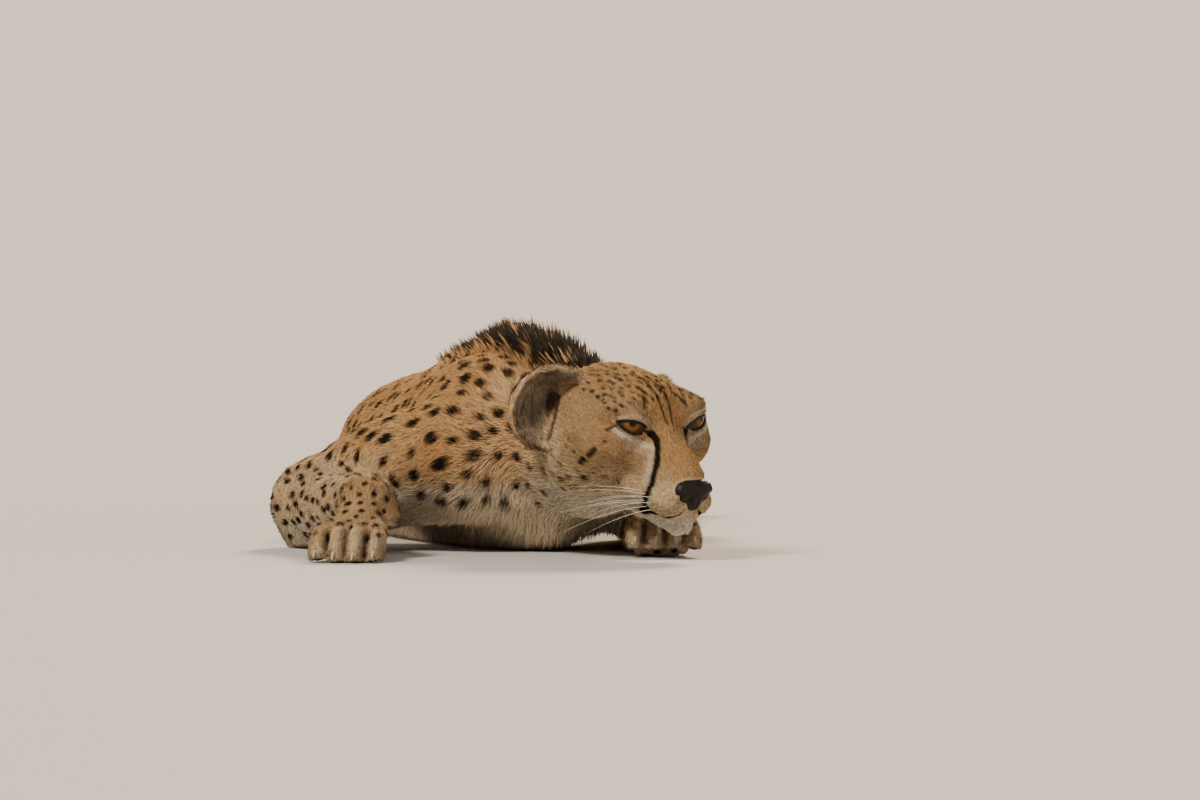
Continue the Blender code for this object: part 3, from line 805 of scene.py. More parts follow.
    def _face_marks(self, at: Samples) -> Points:
        """How black the face marks make each point.

        Args:
            at: Places on the skin.

        Returns:
            A share for each point.
        """
        local, ahead = self._mirrored(at)
        strength = np.zeros(len(local))
        near = (local[:, 0] > -60) & (local[:, 0] < 140) & (np.abs(local[:, 2]) < 90) & (local[:, 1] < 85)
        part, facing = local[near], ahead[near]
        wobble = 1 + 0.12 * soft_noise(at.points[near], 0.006, 17)
        found = np.zeros(len(part))
        for mark in FACE_MARKS:
            gap = distance_to_path(part, mark.path, facing) * wobble
            found = np.maximum(found, mark.strength * ease(gap, mark.width * 1.25, mark.width * 0.75))
        for x, y, z, radius in (*CHEEK_SPOTS, *WHISKER_ROWS):
            gap = distance_to_path(part, ((x, y, z), (x, y, z)), facing) * wobble
            found = np.maximum(found, 0.92 * ease(gap, radius * 1.2, radius * 0.7))
        strength[near] = found
        return strength

    def _mirrored(self, at: Samples) -> tuple[Points, Points]:
        """Points and normals in the head's frame, both turned to its left side.

        Args:
            at: Places on the skin.

        Returns:
            The points in millimetres, and the normals.
        """
        local, ahead = self.head.inside(at.points), at.normals @ self.head.axes().T
        ahead[:, 1] *= np.where(local[:, 1] < 0, -1, 1)
        return folded(local), ahead

    def _head_colours(self, at: Samples) -> Points:
        """Tan forehead and bridge, white lips, chin and lids, cream cheeks.

        Args:
            at: Places on the skin.

        Returns:
            One linear colour for each point.
        """
        tan, gold, cream, white = self.palette.arrays("face", "gold", "cream", "white")
        local, ahead = self._mirrored(at)
        x, y, z = local.T
        mottled = soft_noise(at.points, 0.03, 11)
        colour = np.tile(tan, (len(local), 1))
        bridge = ease(y, 26, 10) * ease(x, 10, 50)
        golden = 0.04 + 0.42 * bridge + 0.35 * ease(z, 34, 56) + 0.12 * mottled
        colour = blend(colour, gold, np.clip(golden, 0, 1))
        colour = blend(colour, cream, np.clip(ease(z, 0, -46) * (0.80 + 0.15 * mottled), 0, 0.9))
        colour = blend(colour, cream, 0.50 * ease(x, 30, -20) * ease(z, 25, -20))
        colour = blend(colour, cream, 0.60 * ease(x, 84, 100) * ease(z, -14, -32))
        for path, strength, width in PALE_MARKS:
            gap = distance_to_path(local, path, ahead)
            colour = blend(colour, white, strength * ease(gap, width, width * 0.25))
        colour = blend(colour, white, 0.85 * ease(z, -46, -60) * ease(x, 10, 60))
        return blend(colour, white, 0.60 * ease(z, -52, -68))

    @staticmethod
    def _mane_mask(at: Samples) -> Points:
        """Broken dark clumps on the crest of the mane.

        Args:
            at: Places on the skin.

        Returns:
            A share for each point.
        """
        mane = at.values["mane"]
        clumps = ease(soft_noise(at.points * (1, 1, 0.45), 0.016, 21) + 0.95 * mane, 0.0, 0.35)
        return clumps * ease(mane, 0.35, 0.75)

    def _tail_colours(self, at: Samples, colour: Points) -> Points:
        """Black rings and a white tip on the end of the tail.

        Args:
            at: Places on the skin.
            colour: The colours so far.

        Returns:
            The colours with the rings.
        """
        white, black = self.palette.arrays("white", "black")
        low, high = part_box("tail_tip")
        along = (at.points[:, 1] - low.y) / (high.y - low.y) + 0.02 * soft_noise(at.points, 0.03, 5)
        on_tip = ease(at.values["tail_tip"], 0.3, 0.7)
        rings = sum(ease(np.abs(along - middle), 0.085, 0.060) for middle in (0.10, 0.34, 0.58, 0.80))
        colour = blend(colour, black, np.clip(rings, 0, 1) * on_tip)
        return blend(colour, white, ease(along, 0.88, 0.92) * on_tip)

    def _ear_colours(self, at: Samples) -> Points:
        """Grey-brown cups with a pale rim and a painted shadow in the opening, and black backs.

        Args:
            at: Places on the skin.

        Returns:
            One linear colour for each point.
        """
        black, cream, grey, tan = self.palette.arrays("black", "cream", "ear_grey", "tan")
        ahead = at.normals @ self.head.turned((0.86, 0, 0.0))
        local = self.head.inside(at.points)
        rise = local[:, 2]
        outward = np.abs(local[:, 1])
        inner = ease(ahead, 0.05, 0.35)
        mottled = soft_noise(at.points, 0.012, 15)
        # Painted shadow: the cup is darkened low down and towards the head, in the ear's opening.
        painted_ear_shadow = ease(outward, 58, 49) * ease(rise, 26, 10)
        cup = blend(grey, black, np.clip(0.10 + 0.30 * mottled + 0.85 * painted_ear_shadow, 0, 0.95))
        back = blend(black, tan, 0.8 * ease(rise, 15, -20))
        colour = blend(back, cup, inner)
        rim = ease(ahead, -0.78, -0.45) * ease(ahead, 0.44, 0.16) * ease(outward, 34, 46)
        return blend(colour, (tan + cream) / 2, 0.85 * rim)


# ---------------- finishes

def started_material(name: str, roughness: float,
                     specular: float = 0.5) -> tuple[bpy.types.Material, bpy.types.Node]:
    """A new material with nodes.

    Args:
        name: Its name.
        roughness: Roughness of the surface.
        specular: Strength of its reflections.

    Returns:
        The material and its shader.
    """
    material = bpy.data.materials.new(name)
    material.use_nodes = True
    shader = material.node_tree.nodes["Principled BSDF"]
    shader.inputs["Roughness"].default_value = roughness
    shader.inputs["Specular IOR Level"].default_value = specular
    return material, shader


def fine_hairs_group() -> bpy.types.ShaderNodeTree:
    """The fine grain of short hairs, as a tint and a height.

    Returns:
        The node group.
    """
    group = bpy.data.node_groups.new("fine_hairs", "ShaderNodeTree")
    for name, kind, value in (("Scale", "NodeSocketFloat", 700.0), ("Depth", "NodeSocketFloat", 0.3)):
        socket = group.interface.new_socket(name, in_out="INPUT", socket_type=kind)
        socket.default_value = value
    group.interface.new_socket("Tint", in_out="OUTPUT", socket_type="NodeSocketColor")
    group.interface.new_socket("Height", in_out="OUTPUT", socket_type="NodeSocketFloat")
    nodes, links = group.nodes, group.links
    inputs, outputs = nodes.new("NodeGroupInput"), nodes.new("NodeGroupOutput")
    place = nodes.new("ShaderNodeTexCoord")
    grain = nodes.new("ShaderNodeTexNoise")
    grain.inputs["Detail"].default_value = 3.0
    tint = nodes.new("ShaderNodeMapRange")
    low = nodes.new("ShaderNodeMath")
    low.operation = "SUBTRACT"
    low.inputs[0].default_value = 1.0
    links.new(place.outputs["Object"], grain.inputs["Vector"])
    links.new(inputs.outputs["Scale"], grain.inputs["Scale"])
    links.new(inputs.outputs["Depth"], low.inputs[1])
    links.new(grain.outputs["Fac"], tint.inputs["Value"])
    links.new(low.outputs[0], tint.inputs["To Min"])
    tint.inputs["From Min"].default_value = 0.3
    tint.inputs["From Max"].default_value = 0.7
    tint.inputs["To Max"].default_value = 1.08
    links.new(tint.outputs["Result"], outputs.inputs["Tint"])
    links.new(grain.outputs["Fac"], outputs.inputs["Height"])
    return group


@dataclass(frozen=True)
class MarkedFinish:
    """A finish whose colour is painted on the piece, with a grain of fine hairs.

    Attributes:
        name: The material's name.
        roughness: Roughness of the surface.
        specular: Strength of its reflections.
        grain: How many grains there are in a metre.
        depth: How dark the grain gets.
        bump: Height of the grain in metres.
        sheen: Soft light along the edges.
        coat: Weight of a clear wet layer.
    """

    name: str
    roughness: float
    specular: float
    grain: float
    depth: float
    bump: float
    sheen: float = 0.0
    coat: float = 0.0

    def material(self, hairs: bpy.types.ShaderNodeTree) -> bpy.types.Material:
        """Builds the material.

        Args:
            hairs: The group that gives the grain.

        Returns:
            The new material.
        """
        material, shader = started_material(self.name, self.roughness, self.specular)
        nodes, links = material.node_tree.nodes, material.node_tree.links
        shader.inputs["Sheen Weight"].default_value = self.sheen
        shader.inputs["Sheen Roughness"].default_value = 0.4
        shader.inputs["Coat Weight"].default_value = self.coat
        shader.inputs["Coat Roughness"].default_value = 0.04
        painted = nodes.new("ShaderNodeAttribute")
        painted.attribute_name = COLOUR_LAYER
        grain = nodes.new("ShaderNodeGroup")
        grain.node_tree = hairs
        grain.inputs["Scale"].default_value = self.grain
        grain.inputs["Depth"].default_value = self.depth
        mix = nodes.new("ShaderNodeMix")
        mix.data_type = "RGBA"
        mix.blend_type = "MULTIPLY"
        mix.inputs["Factor"].default_value = 1.0
        links.new(painted.outputs["Color"], mix.inputs["A"])
        links.new(grain.outputs["Tint"], mix.inputs["B"])
        links.new(mix.outputs["Result"], shader.inputs["Base Color"])
        if self.bump:
            bump = nodes.new("ShaderNodeBump")
            bump.inputs["Distance"].default_value = self.bump
            bump.inputs["Strength"].default_value = 0.6
            links.new(grain.outputs["Height"], bump.inputs["Height"])
            links.new(bump.outputs["Normal"], shader.inputs["Normal"])
        return material


SKIN_FINISH = MarkedFinish("short_fur", 0.85, 0.2, 620, 0.34, 0.0012)
FUR_FINISH = MarkedFinish("fur_tufts", 0.75, 0.02, 420, 0.16, 0.0)
EYE_FINISH = MarkedFinish("amber_eye", 0.12, 0.08, 900, 0.10, 0.0, coat=0.14)
HORN_FINISH = MarkedFinish("horn", 0.34, 0.45, 800, 0.18, 0.0003)
RIM_FINISH = MarkedFinish("lid_rim", 0.38, 0.2, 1400, 0.2, 0.0003)
WHISKER_FINISH = MarkedFinish("whisker", 0.45, 0.4, 300, 0.05, 0.0)


@dataclass(frozen=True)
class NoseFinish:
    """Pebbled black nose leather, moist and half glossy."""

    colour: Colour = (0.0075, 0.0058, 0.0052)
    worn: Colour = (0.017, 0.012, 0.0105)
    pebbles: float = 950.0
    clouds: float = 110.0
    pebble_height: float = 0.0004
    roughness: float = 0.42
    specular: float = 0.20

    def material(self) -> bpy.types.Material:
        """Builds the material.

        Returns:
            The new material.
        """
        material, shader = started_material("nose_leather", self.roughness, self.specular)
        nodes, links = material.node_tree.nodes, material.node_tree.links
        place = nodes.new("ShaderNodeTexCoord")
        cells = nodes.new("ShaderNodeTexVoronoi")
        cells.inputs["Scale"].default_value = self.pebbles
        cloud = nodes.new("ShaderNodeTexNoise")
        cloud.inputs["Scale"].default_value = self.clouds
        ramp = nodes.new("ShaderNodeValToRGB")
        ramp.color_ramp.elements[0].position = 0.4
        ramp.color_ramp.elements[0].color = (*self.colour, 1)
        ramp.color_ramp.elements[1].position = 0.75
        ramp.color_ramp.elements[1].color = (*self.worn, 1)
        bump = nodes.new("ShaderNodeBump")
        bump.invert = True
        bump.inputs["Distance"].default_value = self.pebble_height
        bump.inputs["Strength"].default_value = 0.5
        links.new(place.outputs["Object"], cells.inputs["Vector"])
        links.new(place.outputs["Object"], cloud.inputs["Vector"])
        links.new(cloud.outputs["Fac"], ramp.inputs["Fac"])
        links.new(ramp.outputs["Color"], shader.inputs["Base Color"])
        links.new(cells.outputs["Distance"], bump.inputs["Height"])
        links.new(bump.outputs["Normal"], shader.inputs["Normal"])
        return material


# ---------------- the eye's opening

@dataclass(frozen=True)
class EyeOpening:
    """The almond between the lids of one eye, in the head's frame in millimetres."""

    side: Side
    centre: Triple = (52, 32, 21)
    axis: Triple = (0.86, 0.48, 0.12)
    across: Triple = (-0.5, 1.0, 0.05)
    ball: float = 17.0
    inner: float = -19.5
    outer: float = 14.0
    inner_drop: float = -4.6
    outer_rise: float = 1.0
    top: float = 6.0
    bottom: float = 6.2

    def place(self) -> Points:
        """Centre of the eyeball."""
        return np.array(self.centre) * (1, self.side.value, 1)

    def frame(self) -> Points:
        """Rows: towards the outer corner, up, and out of the eye.

        Returns:
            Three unit vectors in the head's frame.
        """
        ahead = unit(np.array(self.axis) * (1, self.side.value, 1))
        out = np.array(self.across) * (1, self.side.value, 1)
        out = unit(out - (out @ ahead) * ahead)
        up = np.cross(ahead, out)
        return np.stack([out, up if up[2] > 0 else -up, ahead])

    def lid_heights(self, along: Points) -> tuple[Points, Points]:
        """Heights of the upper and the lower lid.

        Args:
            along: Places from the inner to the outer corner, in millimetres.

        Returns:
            The upper and the lower lid's edge, in millimetres.
        """
        share = np.clip((along - self.inner) / (self.outer - self.inner), 0, 1)
        line = self.inner_drop + (self.outer_rise - self.inner_drop) * share
        bow = np.sin(math.pi * share ** 0.85)
        return line + self.top * bow ** 0.75, line - self.bottom * bow ** 0.85

    def depth_inside(self, offset: Points) -> Points:
        """How far inside the opening points lie, negative outside it.

        Args:
            offset: Points in the opening's own frame, in millimetres.

        Returns:
            A distance in millimetres for each point.
        """
        along, height = offset[:, 0], offset[:, 1]
        upper, lower = self.lid_heights(along)
        past = np.maximum(self.inner - along, along - self.outer)
        return np.minimum(np.minimum(upper - height, height - lower), -past * 0.8 + 0.6)

    def rim(self, count: int, lift: float) -> Points:
        """Points on the lids' edge, lying on the eyeball.

        Args:
            count: Number of points on each lid.
            lift: How far they stand off the ball, in millimetres.

        Returns:
            A closed ring of points in the head's frame, in millimetres.
        """
        share = (1 - np.cos(np.linspace(0, math.pi, count))) / 2
        along = self.inner + (self.outer - self.inner) * share
        upper, lower = self.lid_heights(along)
        flat = np.concatenate([np.stack([along, upper], 1), np.stack([along, lower], 1)[-2:0:-1]])
        reach = (self.ball + lift) ** 2 - (flat**2).sum(1)
        height = np.sqrt(np.maximum(reach, 5.2**2))
        return self.place() + np.column_stack([flat, height]) @ self.frame()


# ---------------- the skin

TOES = (
    # foot, direction of its toes, length of the clefts in metres
    ("forepaw_right", (0.94, -0.17, -0.29), 0.050),
    ("forepaw_left", (0.99, 0.07, -0.05), 0.050),
    ("hind_foot_left", (0.95, 0.05, -0.29), 0.042),
    ("hind_foot_right", (0.97, 0.20, -0.02), 0.042),
)
FACE_STEPS = (
    # start on the head's length, and reach round the eyes, in millimetres
    (-25, None), (5, None), (30, 26),
)
MANE_CREST = ((6, -34, -40), (-54, -70, -15), (-119, -105, -4), (-189, -130, -22), (-255, -146, -42))


@dataclass
class Skin:
    """One closed skin over all flesh, inside the coat, with lids, lips and ear cups.

    Attributes:
        head: The head's frame.
        voxel: Size of the first even faces, in metres.
        grow: Growth that closes the cuts between the solids, in metres.
        share: Share of the first faces that are kept.
        dense_weight: How much paws and ears are thinned, against the rest.
        far_ear_base: Where the left ear grows, in the head's frame in millimetres.
        far_ear_fold: How far it is folded back towards its base.
        face_front: End of the face that gets finer faces, in millimetres ahead of the head's origin.
        foot_half_width: Reach of the toes' shaping to each side of a foot, in metres.
        foot_reach: Its reach ahead of the claws and behind them, in metres.
        cleft_top: Height over the floor at which the clefts have run out, in metres.
        cleft_depth: Depth of a cleft, in widths of a toe.
        cleft_width: Width of a cleft, in widths of a toe.
        toe_swell: How far a toe's back rises, in widths of a toe.
        openings: The openings of the eyes.
    """

    head: HeadFrame
    voxel: float = 0.0028
    grow: float = 0.0008
    share: float = 0.221
    dense_weight: float = 0.10
    far_ear_base: Triple = (-20, 50, -2)
    far_ear_fold: float = 0.34
    face_front: float = 150.0
    foot_half_width: float = 0.05
    foot_reach: float = 0.08
    cleft_top: float = 0.038
    cleft_depth: float = 0.27
    cleft_width: float = 0.15
    toe_swell: float = 0.14
    openings: tuple[EyeOpening, ...] = (EyeOpening(Side.RIGHT), EyeOpening(Side.LEFT))

    def build(self, material: bpy.types.Material) -> tuple[bpy.types.Object, Surface, Markings]:
        """Makes the skin.

        Args:
            material: Its finish.

        Returns:
            The piece, its surface with the coat's numbers, and the markings.
        """
        mesh = self._refined(self._thinned(self._wrapped()))
        surface = Surface.of(mesh)
        surface.relax(6, 0.5)
        write_points(mesh, surface.points)
        surface.normals = read_normals(mesh)
        self._find_areas(surface)
        self._find_flow(surface)
        self._sink(surface)
        write_points(mesh, surface.points)
        surface.normals = read_normals(mesh)
        self._shape_face(surface)
        self._shape_toes(surface)
        write_points(mesh, surface.points)
        surface.normals = read_normals(mesh)
        surface.flow = laid(surface.flow, surface.normals)
        # Painted shade: a mask of the hollows, in which the paws' coat is darkened between the toes.
        hollow = ((surface.spread(surface.points, 2) - surface.points) * surface.normals).sum(1)
        surface.values["fold"] = surface.spread(ease(hollow, 0.00015, 0.0008), 1)
        self._unwrap(mesh)
        markings = Markings(surface, self.head, Palette())
        paint(mesh, markings.colours(Samples(surface.points, surface.normals, surface.values)))
        piece = new_piece("skin", mesh, material, Finish.COAT)
        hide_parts(*FLESH)
        return piece, surface, markings

    def _wrapped(self) -> bpy.types.Mesh:
        """All flesh with eyes and nose in one closed wrap.

        Returns:
            The wrap's mesh.
        """
        whole = bmesh.new()
        for name in (*FLESH, "eye_right", "eye_left", "nose"):
            shape = merged_node(name, self.grow)
            part = bpy.data.meshes.new(name)
            shape.to_mesh(part)
            shape.free()
            whole.from_mesh(part)
            bpy.data.meshes.remove(part)
        mesh = bpy.data.meshes.new("flesh")
        whole.to_mesh(mesh)
        whole.free()
        return remeshed(mesh, self.voxel)

    def _thinned(self, mesh: bpy.types.Mesh) -> bpy.types.Mesh:
        """The outer shell only, with fewer faces.

        Args:
            mesh: The wrap.

        Returns:
            The thinner mesh.
        """
        shape = bmesh.new()
        shape.from_mesh(mesh)
        left = set(shape.verts)
        shells = []
        while left:
            seed = left.pop()
            shell, front = {seed}, [seed]
            while front:
                for edge in front.pop().link_edges:
                    for vertex in edge.verts:
                        if vertex not in shell:
                            shell.add(vertex)
                            front.append(vertex)
            left -= shell
            shells.append(shell)
        largest = max(shells, key=len)
        bmesh.ops.delete(shape, geom=[v for v in shape.verts if v not in largest], context="VERTS")
        shape.to_mesh(mesh)
        shape.free()
        surface = Surface.of(mesh)
        surface.relax(9, 0.5)
        write_points(mesh, surface.points)
        helper = helper_object(mesh)
        weights = helper.vertex_groups.new(name="thin")
        dense = np.zeros(len(surface.points), bool)
        for name in PAWS + EARS:
            low, high = (np.array(corner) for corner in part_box(name))
            dense |= ((surface.points > low - 0.002) & (surface.points < high + 0.002)).all(1)
        weights.add(np.flatnonzero(~dense).tolist(), 1.0, "REPLACE")
        weights.add(np.flatnonzero(dense).tolist(), self.dense_weight, "REPLACE")
        thin = helper.modifiers.new("thin", "DECIMATE")
        thin.vertex_group = "thin"
        thin.ratio = self.share
        thin.use_collapse_triangulate = True
        return finished_mesh(helper)

    def _refined(self, mesh: bpy.types.Mesh) -> bpy.types.Mesh:
        """Finer faces on the face, and the finest round eyes, nose and mouth.

        Args:
            mesh: The thinned shell.

        Returns:
            The same mesh, refined.
        """
        shape = bmesh.new()
        shape.from_mesh(mesh)
        for start, around in FACE_STEPS:
            places = self.head.inside(np.array([v.co for v in shape.verts]))
            x, y, z = places.T
            close = (x > start) & (x < self.face_front) & (np.abs(y) < 80) & (np.abs(z) < 75)
            if around:
                near = np.full(len(places), np.inf)
                for opening in self.openings:
                    near = np.minimum(near, np.linalg.norm(places - opening.place() - (8, 0, 0), axis=1))
                mouth = distance_to_path(folded(places), MOUTH.path)
                close &= (near < around) | (mouth < 5)
            shape.verts.ensure_lookup_table()
            edges = [e for e in shape.edges if close[e.verts[0].index] and close[e.verts[1].index]]
            bmesh.ops.subdivide_edges(shape, edges=edges, cuts=1, use_grid_fill=True)
            bmesh.ops.triangulate(shape, faces=[f for f in shape.faces if len(f.verts) > 3])
            shape.verts.index_update()
        shape.to_mesh(mesh)
        shape.free()
        return mesh

    def _find_areas(self, surface: Surface) -> None:
        """Finds each vertex's node, and the coat's numbers, evened out across the borders.

        Args:
            surface: Receives them.
        """
        corners: list[Points] = []
        faces: list[tuple[int, int, int]] = []
        owner: list[int] = []
        start = 0
        for number, name in enumerate(FLESH):
            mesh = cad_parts[name].data
            corners.extend(read_points(mesh).tolist())
            for face in mesh.polygons:
                faces.append(tuple(v + start for v in face.vertices))
                owner.append(number)
            start += len(mesh.vertices)
        tree = BVHTree.FromPolygons(corners, faces)
        found = [tree.find_nearest(point)[2] for point in surface.points.tolist()]
        surface.node = np.array(owner)[found]
        areas = [AREAS[name] for name in FLESH]
        for key, times in (("depth", 14), ("length", 10), ("width", 10), ("room", 6), ("lift", 8),
                           ("pale", 14), ("spot", 3), ("spacing", 3), ("stretch", 8)):
            exact = np.array([getattr(area, key) for area in areas], float)[surface.node]
            surface.values[key] = surface.spread(exact, times)
        groups = {
            "head": (("head", *EARS), 8), "ear": (EARS, 2), "tail_tip": (("tail_tip",), 3), "paw": (PAWS, 16),
        }
        for key, (names, times) in groups.items():
            member = np.isin(surface.node, numbers_of(names)).astype(float)
            surface.values[key] = surface.spread(member, times)
        trunk = np.isin(surface.node, numbers_of(("neck", "chest", "rump")))
        hang = ease(surface.points[:, 2], 0.065, 0.020) * ease(surface.normals[:, 2], 0.15, -0.45) * trunk
        surface.values["hang"] = surface.spread(hang, 4)
        surface.values["length"] = surface.values["length"] * (1 + 0.9 * surface.values["hang"])
        self._shape_head_numbers(surface)
        high = np.array(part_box("chest")[1])
        crest = [tuple(high + np.array(p) * MM) for p in MANE_CREST]
        near = ease(distance_to_path(surface.points, crest), 0.046, 0.016)
        surface.values["mane"] = near * (1 - np.clip(surface.values["head"] * 1.6, 0, 1))

    def _shape_head_numbers(self, surface: Surface) -> None:
        """The head's coat: shortest on bridge and muzzle, longest under the cheeks.

        Args:
            surface: Has its numbers changed.
        """
        local = self.head.inside(surface.points)
        x, z = local[:, 0], local[:, 2]
        values = surface.values
        cheek = ease(x, 72, 8) * ease(z, 2, -45)
        chin = ease(z, -40, -62) * ease(x, 40, 90)
        length = 3.3 + 5.0 * cheek + 2.6 * ease(z, 22, 50) + 1.6 * ease(x, 45, -20) + 0.6 * chin
        depth = 2.5 + 3.8 * cheek + 1.4 * ease(z, 22, 50) + 1.2 * ease(x, 45, -20) + 1.2 * chin
        width = 0.62 + 0.10 * (length - 3.3)
        room = np.clip(length * width / 5.2, 0.52, 1.9)
        for key, wanted in (("length", length), ("depth", depth), ("width", width), ("room", room)):
            share = ease(values["head"], 0.15, 0.9) * (1 - values["ear"])
            values[key] = values[key] * (1 - share) + wanted * share

    def _find_flow(self, surface: Surface) -> None:
        """The lie of the coat: back from the nose over the head, and down each limb.

        Args:
            surface: Receives the directions.
        """
        flow = unit(np.array([AREAS[name].flow for name in FLESH], float))[surface.node]
        local = self.head.inside(surface.points)
        on_head = surface.node == FLESH.index("head")
        away = unit(local - (122, 0, -34)) + (-0.25, 0, 0.0)
        flow[on_head] = self.head.turned(away[on_head])
        for side, name in ((Side.RIGHT, "ear_right"), (Side.LEFT, "ear_left")):
            flow[surface.node == FLESH.index(name)] = self.head.turned((0.14, side.value * 0.39, 0.91))
        flow = surface.spread(flow, 22)
        surface.flow = laid(flow, surface.normals)

    def _sink(self, surface: Surface) -> None:
        """Moves the skin inside the outline by the depth of the coat.

        Args:
            surface: Is moved.
        """
        normals = unit(surface.spread(surface.normals, 5))
        points = surface.points
        resting = ease(normals[:, 2], -0.45, -0.9) * ease(points[:, 2], 0.030, 0.012)
        mane = surface.values["mane"]
        depth = surface.values["depth"] * MM * (1 - 0.8 * resting) * (1 - 0.6 * mane)
        surface.points = points - normals * depth[:, None] - np.outer(mane, (0, 0, 0.019))
        base = self.head.outside(self.far_ear_base)
        far = ease(surface.values["ear"], 0.1, 0.7) * (self.head.inside(surface.points)[:, 1] > 0)
        surface.points = surface.points + (base - surface.points) * (self.far_ear_fold * far)[:, None]
        ear = ease(surface.values["ear"], 0.2, 0.6)
        local = self.head.inside(surface.points)
        fine = ease(local[:, 0], 20, 60) * (surface.values["head"] > 0.5)
        paw = np.clip(surface.values["paw"], 0, 1)
        surface.relax(8, 0.5 * (1 - 0.9 * ear) * (1 - 0.6 * fine) * (1 - 0.8 * paw))

    def _shape_face(self, surface: Surface) -> None:
        """Opens the lids round the eyes, and cuts the mouth and the groove under the nose.

        Args:
            surface: Is moved.
        """
        local = self.head.inside(surface.points)
        for opening in self.openings:
            offset = (local - opening.place()) @ opening.frame().T
            close = (offset[:, 2] > 1.5) & (np.abs(offset[:, 0]) < 34) & (np.abs(offset[:, 1]) < 24)
            part = offset[close]
            inside = opening.depth_inside(part)
            away = np.linalg.norm(part, axis=1)
            lid = np.maximum(away, opening.ball + 1.9 * ease(inside, -11, -2.0) + 0.1)
            fold = 1.1 * np.exp(-(((part[:, 1] - opening.lid_heights(part[:, 0])[0] - 5.0) / 1.3) ** 2))
            fold *= ease(np.abs(part[:, 0]), 17, 9)
            lid = away + (lid - away) * ease(inside, -17, -7) - fold
            pit = np.minimum(away, opening.ball - 3.4)
            depth = ease(inside, -0.5, 0.9)
            part = part * ((lid * (1 - depth) + pit * depth) / away)[:, None]
            local[close] = part @ opening.frame() + opening.place()
        normals = surface.normals @ self.head.axes().T
        lips = distance_to_path(folded(local), MOUTH.path)
        groove = distance_to_path(folded(local), PHILTRUM.path)
        sunk = 2.4 * np.exp(-((lips / 1.3) ** 2)) + 1.2 * np.exp(-((groove / 1.0) ** 2))
        swell = 0.9 * np.exp(-(((lips - 3.6) / 2.2) ** 2))
        surface.points = self.head.outside(local - normals * (sunk - swell)[:, None])

    def _shape_toes(self, surface: Surface) -> None:
        """Rounds the toes and cuts the clefts between them, in line with the claws.

        Args:
            surface: Is moved.
        """
        for foot, ahead, reach in TOES:
            claws = [middle_of(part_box(f"claw_{foot}_{i}")) for i in range(1, 5)]
            ahead = unit(np.array(ahead))
            side = unit(np.cross((0, 0, 1), ahead))
            lanes = np.sort(np.array([claw @ side for claw in claws]))
            middle = sum(claws) / 4
            offset = surface.points - middle
            along, across = offset @ ahead, surface.points @ side
            beside = (np.abs(offset @ side) < self.foot_half_width) & (np.abs(along) < self.foot_reach)
            low = ease(surface.points[:, 2], self.cleft_top, 0.5 * self.cleft_top)
            near = ease(along, -reach, -0.45 * reach) * beside * low * ease(surface.values["paw"], 0.2, 0.6)
            clefts = (lanes[1:] + lanes[:-1]) / 2
            width = (lanes[-1] - lanes[0]) / 3
            gap = np.abs(across[:, None] - clefts[None]).min(1) / width
            toe = np.abs(across[:, None] - lanes[None]).min(1) / width
            cut = self.cleft_depth * np.exp(-((gap / self.cleft_width) ** 2))
            move = width * (self.toe_swell * ease(toe, 0.5, 0.0) - cut)
            top = ease(surface.normals[:, 2], -0.6, -0.1)
            surface.points = surface.points + surface.normals * (move * near * top)[:, None]

    @staticmethod
    def _unwrap(mesh: bpy.types.Mesh) -> None:
        """Unwraps the skin for the bake.

        Args:
            mesh: Receives the map.
        """
        mesh.uv_layers.new(name=BAKE_MAP)
        helper = helper_object(mesh)
        bpy.ops.object.select_all(action="DESELECT")
        helper.select_set(True)
        bpy.context.view_layer.objects.active = helper
        bpy.ops.object.mode_set(mode="EDIT")
        bpy.ops.mesh.select_all(action="SELECT")
        bpy.ops.uv.smart_project(angle_limit=math.radians(66), island_margin=0.001)
        bpy.ops.object.mode_set(mode="OBJECT")
        bpy.data.objects.remove(helper)


# ---------------- the coat

class TuftShape(Enum):
    """How a tuft is built: corners for each ring across, in widths, and its faces."""

    SPIKE = "spike"
    LOCK = "lock"


@dataclass(frozen=True)
class TuftForm:
    """Rings and faces of a tuft.

    Attributes:
        rings: For each corner: place along the tuft, across it and above it, and its place in the bake patch.
        faces: Corners of its faces.
        painted_shading: Painted shade and highlight at each corner: darker at the root, lighter on the ridge
            and at the tip.
    """

    rings: tuple[tuple[float, float, float, float, float], ...]
    faces: tuple[tuple[int, int, int], ...]
    painted_shading: tuple[float, ...]
